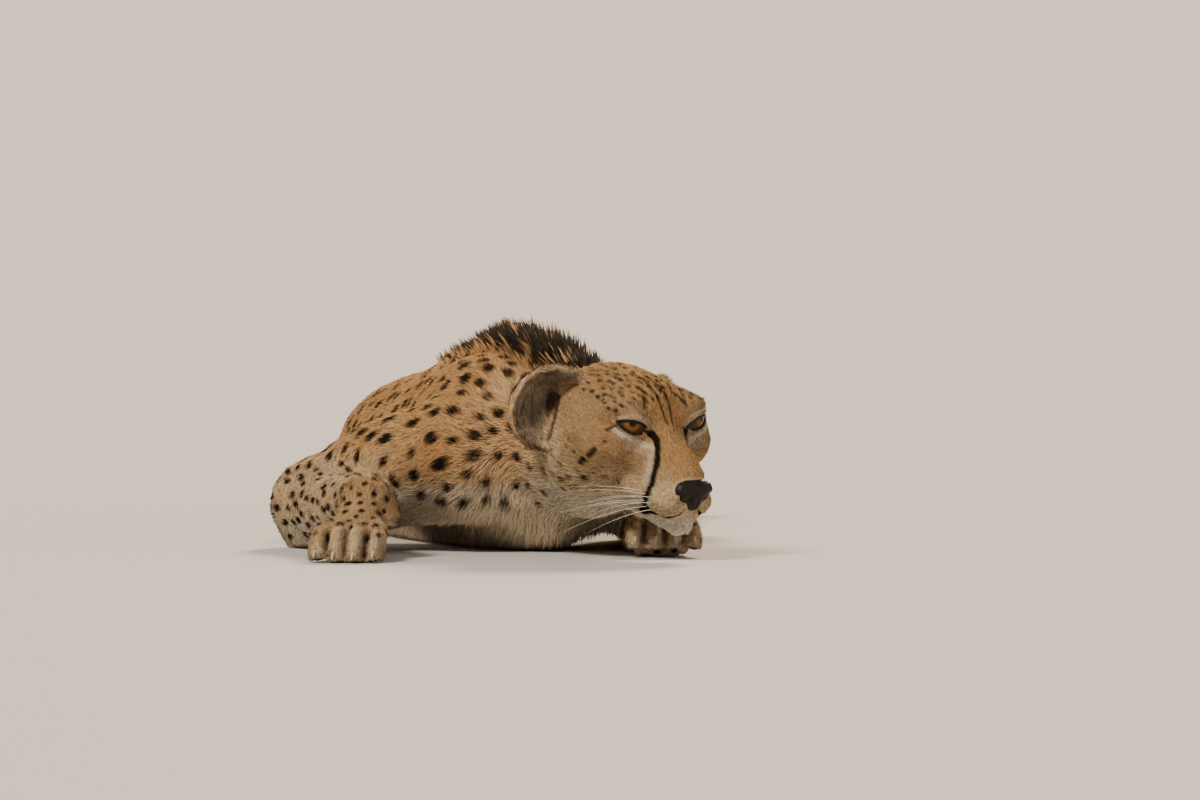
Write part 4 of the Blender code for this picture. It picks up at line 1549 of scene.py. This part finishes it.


# The last row of each form is painted shade and highlight: darker corners at the root, lighter ones on the
# ridge and at the tip.
FORMS = {
    TuftShape.SPIKE: TuftForm(
        ((0, 0.5, 0, -1, -1), (0, -0.5, 0, 1, -1), (0.12, 0, 0.5, 0, -0.2), (1, 0, 0, 0, 1)),
        ((1, 0, 3), (2, 1, 3), (0, 2, 3)),
        (0.78, 0.78, 0.92, 1.22),
    ),
    TuftShape.LOCK: TuftForm(
        ((0, 0.5, 0, -1, -1), (0, 0, 0.36, 0, -1), (0, -0.5, 0, 1, -1),
         (0.5, 0.42, 0, -0.8, 0), (0.5, 0, 0.30, 0, 0), (0.5, -0.42, 0, 0.8, 0), (1, 0, 0, 0, 1)),
        ((0, 1, 4), (0, 4, 3), (1, 2, 5), (1, 5, 4), (3, 4, 6), (4, 5, 6)),
        (0.72, 0.80, 0.72, 0.98, 1.06, 0.98, 1.24),
    ),
}
COAT_PIECES = {
    "coat_head": (("head",), TuftShape.SPIKE),
    "coat_ears": (EARS, TuftShape.SPIKE),
    "coat_neck": (("neck",), TuftShape.LOCK),
    "coat_chest": (("chest",), TuftShape.SPIKE),
    "coat_rump": (("rump",), TuftShape.SPIKE),
    "coat_tail": (("tail_root", "tail_middle", "tail_tip"), TuftShape.LOCK),
    "coat_foreleg_right": (("upper_arm_right", "forearm_right", "forepaw_right"), TuftShape.SPIKE),
    "coat_foreleg_left": (("upper_arm_left", "forearm_left", "forepaw_left"), TuftShape.SPIKE),
    "coat_hind_legs": (("shank_left", "shank_right", "hind_foot_left", "hind_foot_right"), TuftShape.SPIKE),
}


@dataclass
class Roots:
    """Where tufts grow: one row or number for each tuft, in metres."""

    place: Points
    normal: Points
    flow: Points
    bake: Points
    node: Points
    values: dict[str, Points]

    def chosen(self, which: Points) -> "Roots":
        """Only some of the roots."""
        rows = (self.place, self.normal, self.flow, self.bake, self.node)
        return Roots(*(row[which] for row in rows), {key: value[which] for key, value in self.values.items()})


@dataclass
class Tufts:
    """Tufts that are joined into one piece: one row or number for each.

    Attributes:
        roots: Where they grow and lie.
        length: Length of each, in metres.
        width: Width of each at its root, in metres.
        lift: How far each tip stands off, as a share of its length.
        colours: Colour of each at its root.
        tips: Colour of each at its tip.
        patch: Half the size of a tuft's place in the bake.
        sunk: How deep the roots sit in the skin, in metres.
        lowest: Height over the floor that no corner goes below, in metres.
    """

    roots: Roots
    length: Points
    width: Points
    lift: Points
    colours: Points
    tips: Points
    patch: float = 0.0015
    sunk: float = 0.0004
    lowest: float = 0.0003

    def build(self, name: str, shape: TuftShape, material: bpy.types.Material) -> bpy.types.Object:
        """Joins the tufts into one piece.

        Args:
            name: The piece's name.
            shape: How each tuft is built.
            material: Their finish.

        Returns:
            The new piece.
        """
        form = FORMS[shape]
        places, normals, painted_shading = self._corners(form)
        count, corners = places.shape[:2]
        mesh = bpy.data.meshes.new(name)
        faces = (np.array(form.faces)[None] + (np.arange(count) * corners)[:, None, None]).reshape(-1, 3)
        mesh.vertices.add(count * corners)
        mesh.vertices.foreach_set("co", places.astype(np.float32).ravel())
        mesh.loops.add(faces.size)
        mesh.loops.foreach_set("vertex_index", faces.astype(np.int32).ravel())
        mesh.polygons.add(len(faces))
        mesh.polygons.foreach_set("loop_start", np.arange(0, faces.size, 3, dtype=np.int32))
        mesh.update(calc_edges=True)
        centre = np.clip(self.roots.bake, self.patch, 1 - self.patch)
        offsets = np.array([ring[3:] for ring in form.rings]) * self.patch
        unwrap = (centre[:, None] + offsets[None]).reshape(-1, 2)[faces.ravel()]
        mesh.uv_layers.new(name=BAKE_MAP).data.foreach_set("uv", unwrap.astype(np.float32).ravel())
        # The corners' colours carry the painted shade and highlight.
        paint(mesh, painted_shading.reshape(-1, 3))
        piece = new_piece(name, mesh, material, Finish.COAT)
        mesh.normals_split_custom_set_from_vertices(normals.reshape(-1, 3).astype(np.float32))
        return piece

    def _corners(self, form: TuftForm) -> tuple[Points, Points, Points]:
        """Works out all corners, tuft by tuft.

        Args:
            form: How each tuft is built.

        Returns:
            Places, normals and colours of the corners of each tuft, the colours with painted shade and
            highlight.
        """
        normal, flow = self.roots.normal, self.roots.flow
        side = np.cross(normal, flow)
        rise = unit(normal)
        places, normals, painted_shading = np.empty((3, len(flow), len(form.rings), 3))
        for i, (along, across, above, _, _) in enumerate(form.rings):
            height = self.lift * self.length * (1.55 * along - 0.55 * along * along) + above * self.width
            height = height - self.sunk * (along == 0)
            ahead = flow * (self.length * along)[:, None] + rise * height[:, None]
            places[:, i] = self.roots.place + ahead + side * (across * self.width)[:, None]
            normals[:, i] = unit(normal + side * across * 0.9 + flow * (0.3 * along - 0.15))
            # Painted shade at the root and painted highlight on the ridge and at the tip.
            painted_shading[:, i] = (self.colours * (1 - along) + self.tips * along) * form.painted_shading[i]
        places[..., 2] = np.maximum(places[..., 2], self.lowest)
        return places, normals, painted_shading


@dataclass
class Coat:
    """All tufts over the skin, in pieces by parts of the body.

    Attributes:
        surface: The skin's vertices.
        markings: The colours.
        head: The head's frame.
        openings: The openings of the eyes, which stay bare.
        most_faces: The most faces that one piece may have.
    """

    surface: Surface
    markings: Markings
    head: HeadFrame
    openings: tuple[EyeOpening, ...]
    most_faces: int = 190000

    def build(self, skin: bpy.types.Object, material: bpy.types.Material) -> list[bpy.types.Object]:
        """Grows the coat.

        Args:
            skin: The skin piece with its unwrap.
            material: The tufts' finish.

        Returns:
            The pieces of the coat.
        """
        draw = np.random.default_rng(SEED + 1)
        roots = self.scatter(skin.data, draw)
        roots = roots.chosen(self._furred(roots))
        roots = self._combed(roots, draw)
        tone = self.tones(roots, draw)
        colours = self.painted(roots, 0.15, tone)
        tips = self.painted(roots, 0.85, tone)
        pieces = []
        for name, (nodes, shape) in COAT_PIECES.items():
            member = np.flatnonzero(np.isin(roots.node, numbers_of(nodes)))
            most = self.most_faces // len(FORMS[shape].faces)
            parts = max(1, math.ceil(len(member) / most))
            for i, part in enumerate(np.array_split(member, parts)):
                label = name if parts == 1 else f"{name}_{i + 1}"
                tufts = self._tufts(roots.chosen(part), colours[part], tips[part], draw)
                pieces.append(tufts.build(label, shape, material))
        return pieces

    def scatter(self, mesh: bpy.types.Mesh, draw: np.random.Generator) -> Roots:
        """Spreads roots over the skin by the room each needs.

        Args:
            mesh: The skin with its unwrap.
            draw: Source of the random places.

        Returns:
            The roots.
        """
        surface = self.surface
        triangles = surface.triangles
        corners = surface.points[triangles]
        sides = corners[:, 1:] - corners[:, :1]
        area = np.linalg.norm(np.cross(sides[:, 0], sides[:, 1]), axis=1) / 2
        room = surface.values["room"][triangles].mean(1) * MM**2
        facing = surface.normals[triangles].mean(1)[:, 2]
        hidden = ease(facing, -0.75, -0.93) * ease(corners[:, :, 2].mean(1), 0.016, 0.008)
        count = np.floor(area / room * (1 - 0.8 * hidden) + draw.random(len(area))).astype(int)
        face = np.repeat(np.arange(len(area)), count)
        first, second = draw.random((2, len(face)))
        root = np.sqrt(first)
        weights = np.stack([1 - root, root * (1 - second), root * second], axis=1)
        across = triangles[face]
        loops = np.array([face.loop_start for face in mesh.polygons])[:, None] + np.arange(3)
        corner_map = read_rows(mesh.uv_layers[BAKE_MAP].data, "uv", 2)[loops]
        nearest = across[np.arange(len(face)), weights.argmax(1)]

        def between(values: Points) -> Points:
            """Values of the skin's vertices, mixed for each root."""
            picked = values[across]
            return (picked * weights.reshape(weights.shape + (1,) * (picked.ndim - 2))).sum(1)

        normal = unit(between(surface.normals))
        return Roots(
            between(surface.points), normal, laid(between(surface.flow), normal),
            (corner_map[face] * weights[..., None]).sum(1), surface.node[nearest],
            {key: between(value) for key, value in surface.values.items()},
        )

    def _furred(self, roots: Roots) -> Points:
        """Leaves out the eyes' openings, the nose, the lips' edges and the soles.

        Args:
            roots: All roots.

        Returns:
            Which roots stay.
        """
        local = self.head.inside(roots.place)
        kept = np.ones(len(local), bool)
        for opening in self.openings:
            offset = (local - opening.place()) @ opening.frame().T
            close = (offset[:, 2] > 0) & (np.abs(offset[:, 0]) < 30) & (np.abs(offset[:, 1]) < 20)
            kept &= ~(close & (opening.depth_inside(offset) > -1.6))
        kept &= distance_to_path(folded(local), MOUTH.path) > 1.2
        nose = np.linalg.norm((local - (120, 0, -22)) / (11.5, 22.5, 11.0), axis=1)
        wedge = np.linalg.norm((local - (122, 0, -32)) / (9.5, 9.0, 12.0), axis=1)
        kept &= (nose > 1) & (wedge > 1)
        sole = (roots.normal[:, 2] < -0.78) & (roots.values["paw"] > 0.5)
        return kept & ~sole

    @staticmethod
    def _combed(roots: Roots, draw: np.random.Generator) -> Roots:
        """The same roots with each tuft's own direction and length.

        Args:
            roots: Where the tufts grow.
            draw: Source of the small differences.

        Returns:
            The combed roots.
        """
        count = len(roots.place)
        comb = 0.30 * soft_noise(roots.place, 0.045, 31) + 0.17 * draw.normal(size=count)
        side = np.cross(roots.normal, roots.flow)
        flow = roots.flow * np.cos(comb)[:, None] + side * np.sin(comb)[:, None]
        flow = laid(flow + roots.values["hang"][:, None] * np.array((0, 0, -1.3)), roots.normal)
        values = {**roots.values, "length": roots.values["length"] * draw.uniform(0.72, 1.22, count)}
        return Roots(roots.place, roots.normal, flow, roots.bake, roots.node, values)

    def painted(self, roots: Roots, along: float, tone: Points) -> Points:
        """Colours of the tufts over a place along their length.

        Args:
            roots: Where the tufts grow.
            along: Place along the tuft, from 0 at the root to 1 at the tip.
            tone: Brightness of each tuft's colours.

        Returns:
            One linear colour for each tuft.
        """
        reach = roots.values["length"] * along * MM
        at = Samples(roots.place + roots.flow * reach[:, None], roots.normal, roots.values)
        return np.clip(self.markings.colours(at) * tone, 0.004, 0.95)

    @staticmethod
    def tones(roots: Roots, draw: np.random.Generator) -> Points:
        """Small differences from tuft to tuft, with a few dark-tipped hairs.

        Args:
            roots: Where the tufts grow.
            draw: Source of the differences.

        Returns:
            A factor for each channel of each tuft's colour.
        """
        count = len(roots.place)
        tone = 1 + (0.15 + 0.06 * roots.values["head"]) * draw.normal(size=count).clip(-2, 2)
        on_face = roots.values["head"] * (1 - roots.values["ear"])
        ticked = draw.random(count) < 0.09 * (1 - 0.6 * roots.values["pale"]) * (1 + 1.6 * on_face)
        tone = np.where(ticked, tone * 0.48, tone)
        frosted = draw.random(count) < 0.30 * roots.values["ear"]
        tone = np.where(frosted, tone * 1.7, tone)
        return tone[:, None] * (1 + 0.04 * draw.normal(size=(count, 3)))

    @staticmethod
    def _tufts(roots: Roots, colours: Points, tips: Points, draw: np.random.Generator) -> Tufts:
        """Gives the tufts of a piece their widths and lifts.

        Args:
            roots: Where the tufts grow.
            colours: Their colours at the root.
            tips: Their colours at the tip.
            draw: Source of the small differences.

        Returns:
            The tufts, not yet built.
        """
        count = len(roots.place)
        width = roots.values["width"] * MM * draw.uniform(0.75, 1.25, count)
        lift = roots.values["lift"] * draw.uniform(0.55, 1.5, count) * (1 + 0.8 * roots.values["hang"])
        return Tufts(roots, roots.values["length"] * MM, width, lift, colours, tips)


@dataclass
class ManeCrest:
    """The crest of upright dark tufts over neck and shoulders.

    Attributes:
        coat: The coat that it grows in.
        length: Length of the longest tufts, in millimetres.
        width: Width of a tuft, in millimetres.
        density: Share of the coat's roots that also carry a tuft of the crest.
        up: Where the tufts point.
        flat: Length of a tuft along its flow, as a share of its length.
        lift: Its rise, as a share of that.
    """

    coat: Coat
    length: float = 32.0
    width: float = 1.7
    density: float = 0.62
    up: Triple = (-0.42, -0.18, 0.95)
    flat: float = 0.62
    lift: float = 1.30

    def build(self, roots_source: bpy.types.Object, material: bpy.types.Material) -> bpy.types.Object:
        """Grows the crest.

        Args:
            roots_source: The skin piece.
            material: The tufts' finish.

        Returns:
            The new piece.
        """
        draw = np.random.default_rng(SEED + 2)
        roots = self.coat.scatter(roots_source.data, draw)
        near = (roots.values["mane"] > 0.12) & (draw.random(len(roots.place)) < self.density)
        roots = roots.chosen(near)
        mane = roots.values["mane"]
        count = len(mane)
        colours = self.coat.painted(roots, 0.0, self.coat.tones(roots, draw))
        swirl = soft_noise(roots.place, 0.03, 41)[:, None] * np.array((0.35, 0.25, 0.0))
        wild = 0.16 * draw.normal(size=(count, 3))
        back = roots.flow * (0.9 * (1 - mane))[:, None]
        wanted = unit(np.array(self.up) + swirl + wild + back)
        normal = unit(wanted - (wanted * roots.flow).sum(1, keepdims=True) * roots.flow * 0.55)
        flow = unit(wanted - (wanted * normal).sum(1, keepdims=True) * normal + roots.flow * 0.25)
        length = self.length * MM * (0.30 + 0.70 * ease(mane, 0.1, 0.9)) * draw.uniform(0.7, 1.12, count)
        lean = Roots(roots.place, normal, flow, roots.bake, roots.node, roots.values)
        width = np.full(count, self.width * MM) * draw.uniform(0.7, 1.2, count)
        tufts = Tufts(lean, length * self.flat, width, np.full(count, self.lift), colours, colours)
        return tufts.build("coat_mane_crest", TuftShape.LOCK, material)


# ---------------- eyes, lids, nose, claws, whiskers

@dataclass
class Eye:
    """An eyeball with amber iris, round pupil and a slightly domed front.

    Attributes:
        opening: The opening that it looks through.
        head: The head's frame.
        iris: Radius of the iris over the ball, in millimetres.
        pupil: Radius of the pupil, in millimetres.
        gaze: Where it looks, from its opening.
        amber: Colour of the iris round the pupil.
        deep: Colour of its outer edge.
        white: Colour of the ball beside it.
        black: Colour of the pupil.
    """

    opening: EyeOpening
    head: HeadFrame
    iris: float = 9.6
    pupil: float = 3.0
    gaze: Triple = (-0.06, 0.13, 1.0)
    amber: Colour = (0.175, 0.072, 0.016)
    deep: Colour = (0.075, 0.024, 0.006)
    white: Colour = (0.050, 0.030, 0.020)
    black: Colour = (0.003, 0.003, 0.003)

    def build(self, material: bpy.types.Material) -> bpy.types.Object:
        """Makes the eye.

        Args:
            material: Its finish.

        Returns:
            The new piece.
        """
        opening = self.opening
        shape = bmesh.new()
        bmesh.ops.create_uvsphere(shape, u_segments=96, v_segments=96, radius=opening.ball)
        mesh = mesh_from(shape, "eye")
        local = read_points(mesh)
        angle = np.arccos(np.clip(local[:, 2] / opening.ball, -1, 1)) * opening.ball
        turn = np.arctan2(local[:, 1], local[:, 0])
        streak = 0.5 + 0.25 * np.sin(turn * 23 + 2 * np.sin(turn * 7)) + 0.25 * np.sin(turn * 41 + angle * 2)
        deep, amber, black, white = np.array((self.deep, self.amber, self.black, self.white))
        colour = blend(deep, amber, ease(angle, self.iris, self.iris * 0.6)) * (0.72 + 0.5 * streak[:, None])
        colour = blend(colour, deep * 0.8, 0.6 * ease(angle, self.pupil * 1.5, self.pupil))
        colour = blend(colour, black, ease(angle, self.pupil * 1.06, self.pupil * 0.94))
        colour = blend(colour, white, ease(angle, self.iris * 0.96, self.iris * 1.08))
        local *= (1 + 0.055 * ease(angle, self.iris * 1.1, 0))[:, None]
        rows = opening.frame()
        ahead = unit(np.array(self.gaze) @ rows)
        out = unit(rows[0] - (rows[0] @ ahead) * ahead)
        placed = local @ np.stack([out, np.cross(ahead, out), ahead]) + opening.place()
        write_points(mesh, self.head.outside(placed))
        paint(mesh, colour)
        name = f"eye_{opening.side.name.lower()}"
        piece = new_piece(name + "_ball", mesh, material, Finish.EYE)
        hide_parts(name)
        return piece


@dataclass
class LidRims:
    """The bare dark edges of the lids.

    Attributes:
        openings: The openings of the eyes.
        head: The head's frame.
        thickness: Radius of an edge, in millimetres.
        colour: Its colour.
    """

    openings: tuple[EyeOpening, ...]
    head: HeadFrame
    thickness: float = 1.5
    colour: Colour = (0.010, 0.007, 0.006)

    def build(self, material: bpy.types.Material) -> bpy.types.Object:
        """Makes both rings.

        Args:
            material: Their finish.

        Returns:
            The new piece.
        """
        shape = bmesh.new()
        for opening in self.openings:
            ring = self.head.outside(opening.rim(22, 0.7))
            tube(shape, ring, [self.thickness * MM] * len(ring), 8, closed=True)
        mesh = mesh_from(shape, "lid_rims")
        paint(mesh, np.tile(self.colour, (len(mesh.vertices), 1)))
        return new_piece("lid_rims", mesh, material, Finish.NOSE)


@dataclass
class Nose:
    """The nose leather with its comma-shaped nostrils and the groove between them.

    Attributes:
        head: The head's frame.
        voxel: Size of its first even faces, in metres.
        fill: Middles and radii of the balls that round the solid off, in the head's frame in millimetres.
        nostril: Path of the left nostril, in the same frame.
    """

    head: HeadFrame
    voxel: float = 0.00075
    fill: tuple[tuple[Triple, Triple], ...] = (
        ((121.5, 0, -27), (7.6, 14.5, 9.0)), ((122, 0, -33), (6.6, 6.5, 9.5)),
        ((120.5, 8.5, -27.5), (7.2, 8.0, 6.2)), ((120.5, -8.5, -27.5), (7.2, 8.0, 6.2)),
    )
    nostril: tuple[Triple, ...] = ((126, 7.0, -29.5), (124.5, 10.5, -29), (121.5, 14, -27.5))

    def _placed(self, place: Triple, radii: Triple) -> Matrix:
        """A matrix that makes a unit ball an ellipsoid of the head's frame.

        Args:
            place: The ellipsoid's middle, in millimetres.
            radii: Its radii, in millimetres.

        Returns:
            The matrix.
        """
        turn = Matrix(self.head.axes().T.tolist()).to_4x4()
        size = Matrix.Diagonal((*(radius * MM for radius in radii), 1.0))
        return Matrix.Translation(self.head.outside(place)) @ turn @ size

    def build(self, material: bpy.types.Material) -> bpy.types.Object:
        """Makes the nose.

        Args:
            material: Its finish.

        Returns:
            The new piece.
        """
        shape = merged_node("nose")
        for place, radii in self.fill:
            matrix = self._placed(place, radii)
            bmesh.ops.create_uvsphere(shape, u_segments=32, v_segments=24, radius=1, matrix=matrix)
        mesh = remeshed(mesh_from(shape, "nose"), self.voxel)
        surface = Surface.of(mesh)
        surface.relax(14, 0.5)
        local = self.head.inside(surface.points)
        normals = unit(surface.spread(surface.normals, 6)) @ self.head.axes().T
        hole = distance_to_path(folded(local), self.nostril)
        sunk = 4.6 * np.exp(-((hole / 2.1) ** 2))
        wing = 0.9 * np.exp(-(((hole - 5.0) / 2.2) ** 2))
        groove = 1.0 * np.exp(-((local[:, 1] / 0.8) ** 2)) * ease(local[:, 2], -18, -27)
        write_points(mesh, self.head.outside(local - normals * (sunk + groove - wing)[:, None]))
        piece = new_piece("nose_pad", mesh, material, Finish.NOSE)
        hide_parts("nose")
        return piece


@dataclass
class Claws:
    """All claws, smoothed, in one piece.

    Attributes:
        cream: Colour of their ends.
        brown: Colour of their roots.
    """

    cream: Colour = (0.50, 0.40, 0.29)
    brown: Colour = (0.10, 0.065, 0.045)

    def build(self, material: bpy.types.Material) -> bpy.types.Object:
        """Makes the claws.

        Args:
            material: Their finish.

        Returns:
            The new piece.
        """
        names = sorted(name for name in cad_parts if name.startswith("claw_"))
        whole = bmesh.new()
        colours = []
        for name in names:
            mesh = mesh_from(merged_node(name), name)
            helper = helper_object(mesh)
            smooth = helper.modifiers.new("smooth", "SUBSURF")
            smooth.levels = smooth.render_levels = 2
            fine = finished_mesh(helper)
            whole.from_mesh(fine)
            places = read_points(fine)
            share = ease(places[:, 0], places[:, 0].min(), places[:, 0].max())
            colours.append(blend(np.array(self.brown), np.array(self.cream), ease(share, 0.1, 0.75)))
            bpy.data.meshes.remove(fine)
        mesh = bpy.data.meshes.new("claws")
        whole.to_mesh(mesh)
        whole.free()
        paint(mesh, np.concatenate(colours))
        piece = new_piece("claws", mesh, material, Finish.CLAW)
        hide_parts(*names)
        return piece


@dataclass
class Whiskers:
    """Long white hairs of the whisker pads, thick at the root and drooping.

    Attributes:
        head: The head's frame.
        count: Whiskers on each side, in rows of three.
        thickness: Radius at the root, in millimetres.
        lengths: Shortest and longest, in millimetres.
        spread: How far their directions differ.
        lowest: Height over the floor that none goes below, in metres.
        colour: Their colour.
    """

    head: HeadFrame
    count: int = 9
    thickness: float = 0.27
    lengths: tuple[float, float] = (46, 78)
    spread: float = 0.06
    lowest: float = 0.003
    colour: Colour = (0.80, 0.76, 0.70)

    def build(self, material: bpy.types.Material) -> bpy.types.Object:
        """Makes the whiskers of both sides.

        Args:
            material: Their finish.

        Returns:
            The new piece.
        """
        draw = np.random.default_rng(SEED + 3)
        shape = bmesh.new()
        for side in Side:
            for i in range(self.count):
                row, step = i % 3, i // 3
                across = np.array((1, side.value, 1))
                root = across * (104 - 6 * step - 2 * row, 24 + 2.2 * step, -36 - 5.5 * row + step)
                lean = across * (-0.62 - 0.06 * step, 0.78 - 0.10 * step, 0.12 - 0.16 * row)
                lean = unit(lean + self.spread * draw.normal(size=3))
                length = draw.uniform(*self.lengths)
                share = np.linspace(0, 1, 9)[:, None]
                droop = np.array((-10, 0, -16 - 4 * row)) * share**2 * length / 60
                path = self.head.outside(root + lean * length * share + droop)
                path[:, 2] = np.maximum(path[:, 2], self.lowest)
                radii = self.thickness * MM * (1 - 0.85 * share[:, 0])
                tube(shape, path, list(radii), 5)
        mesh = mesh_from(shape, "whiskers")
        paint(mesh, np.tile(self.colour, (len(mesh.vertices), 1)))
        return new_piece("whiskers", mesh, material, Finish.COAT)


# ---------------- the studio

@dataclass(frozen=True)
class Sun:
    """A far, soft light.

    Attributes:
        name: The light's name.
        place: Where it shines from.
        softness: How wide it looks, in degrees.
        power: Its strength.
        colour: Its colour.
    """

    name: str
    place: Triple
    softness: float
    power: float
    colour: Colour

    def build(self) -> None:
        """Adds the light to the scene."""
        light = bpy.data.lights.new(self.name, "SUN")
        light.angle, light.energy, light.color = math.radians(self.softness), self.power, self.colour
        lamp = bpy.data.objects.new(self.name, light)
        lamp.location = Vector(self.place)
        lamp.rotation_euler = (-lamp.location).to_track_quat("-Z", "Y").to_euler()
        bpy.context.scene.collection.objects.link(lamp)


SUNS = (
    Sun("key", (3.0, -2.0, 3.2), 14, 3.1, (1.0, 0.92, 0.80)),
    Sun("fill", (3.0, 3.4, 1.5), 60, 0.45, (0.97, 0.97, 1.0)),
    Sun("rim", (-3.0, 0.9, 1.9), 16, 4.2, (1.0, 0.80, 0.56)),
)


@dataclass
class Studio:
    """Pale floor, soft lights and the camera.

    Attributes:
        head: The head's frame, whose origin the camera aims from.
        distance: From the camera to its aim, in metres.
        elevation: Height of the camera above the level, in degrees.
        lens: Focal length in millimetres.
        aim: Where the camera looks, from the head's origin, in metres.
        floor_radius: Radius of the floor, in metres.
        view_reach: How far the camera sees, in metres.
        sky: Colour of the surroundings.
        sky_power: Their strength.
    """

    head: HeadFrame
    distance: float = 12.0
    elevation: float = 2.0
    lens: float = 396.0
    aim: Triple = (0.052, -0.019, 0.023)
    floor_radius: float = 500.0
    view_reach: float = 1500.0
    sky: Colour = (0.86, 0.84, 0.81)
    sky_power: float = 0.40

    def build(self) -> None:
        """Sets the studio up."""
        self._floor()
        self._world()
        for sun in SUNS:
            sun.build()
        self._camera()

    def _floor(self) -> None:
        """A large pale floor."""
        shape = bmesh.new()
        bmesh.ops.create_circle(shape, cap_ends=True, segments=96, radius=self.floor_radius)
        floor = bpy.data.objects.new("floor", mesh_from(shape, "floor"))
        bpy.context.scene.collection.objects.link(floor)
        material, shader = started_material("pale_floor", 0.9)
        nodes, links = material.node_tree.nodes, material.node_tree.links
        cloud = nodes.new("ShaderNodeTexNoise")
        cloud.inputs["Scale"].default_value = 3.0
        ramp = nodes.new("ShaderNodeValToRGB")
        ramp.color_ramp.elements[0].color = (0.60, 0.57, 0.53, 1)
        ramp.color_ramp.elements[1].color = (0.66, 0.63, 0.59, 1)
        links.new(cloud.outputs["Fac"], ramp.inputs["Fac"])
        links.new(ramp.outputs["Color"], shader.inputs["Base Color"])
        floor.data.materials.append(material)

    def _world(self) -> None:
        """Even pale surroundings."""
        world = bpy.data.worlds.new("studio")
        world.use_nodes = True
        background = world.node_tree.nodes["Background"]
        background.inputs["Color"].default_value = (*self.sky, 1)
        background.inputs["Strength"].default_value = self.sky_power
        bpy.context.scene.world = world

    def _camera(self) -> None:
        """A long lens, almost level with the animal."""
        camera = bpy.data.cameras.new("camera")
        camera.lens, camera.sensor_width = self.lens, 36.0
        camera.clip_end = self.view_reach
        eye = bpy.data.objects.new("camera", camera)
        target = Vector(self.head.origin() + np.array(self.aim))
        angle = math.radians(self.elevation)
        eye.location = target + Vector((math.cos(angle), 0, math.sin(angle))) * self.distance
        eye.rotation_euler = (target - eye.location).to_track_quat("-Z", "Y").to_euler()
        bpy.context.scene.collection.objects.link(eye)
        bpy.context.scene.camera = eye


def main() -> None:
    """Builds the model piece by piece."""
    head = HeadFrame()
    hairs = fine_hairs_group()
    fur = FUR_FINISH.material(hairs)
    skin = Skin(head)
    piece, surface, markings = skin.build(SKIN_FINISH.material(hairs))
    LOG.info("skin: %d faces", len(piece.data.polygons))
    coat = Coat(surface, markings, head, skin.openings)
    for tufts in coat.build(piece, fur):
        LOG.info("%s: %d faces", tufts.name, len(tufts.data.polygons))
    crest = ManeCrest(coat).build(piece, fur)
    LOG.info("%s: %d faces", crest.name, len(crest.data.polygons))
    eye_finish = EYE_FINISH.material(hairs)
    for opening in skin.openings:
        LOG.info("%s built", Eye(opening, head).build(eye_finish).name)
    LOG.info("%s built", LidRims(skin.openings, head).build(RIM_FINISH.material(hairs)).name)
    LOG.info("%s built", Nose(head).build(NoseFinish().material()).name)
    LOG.info("%s built", Claws().build(HORN_FINISH.material(hairs)).name)
    LOG.info("%s built", Whiskers(head).build(WHISKER_FINISH.material(hairs)).name)
    Studio(head).build()


if __name__ == "__main__":
    logging.basicConfig(level=logging.INFO, format="%(name)s: %(message)s")
    main()
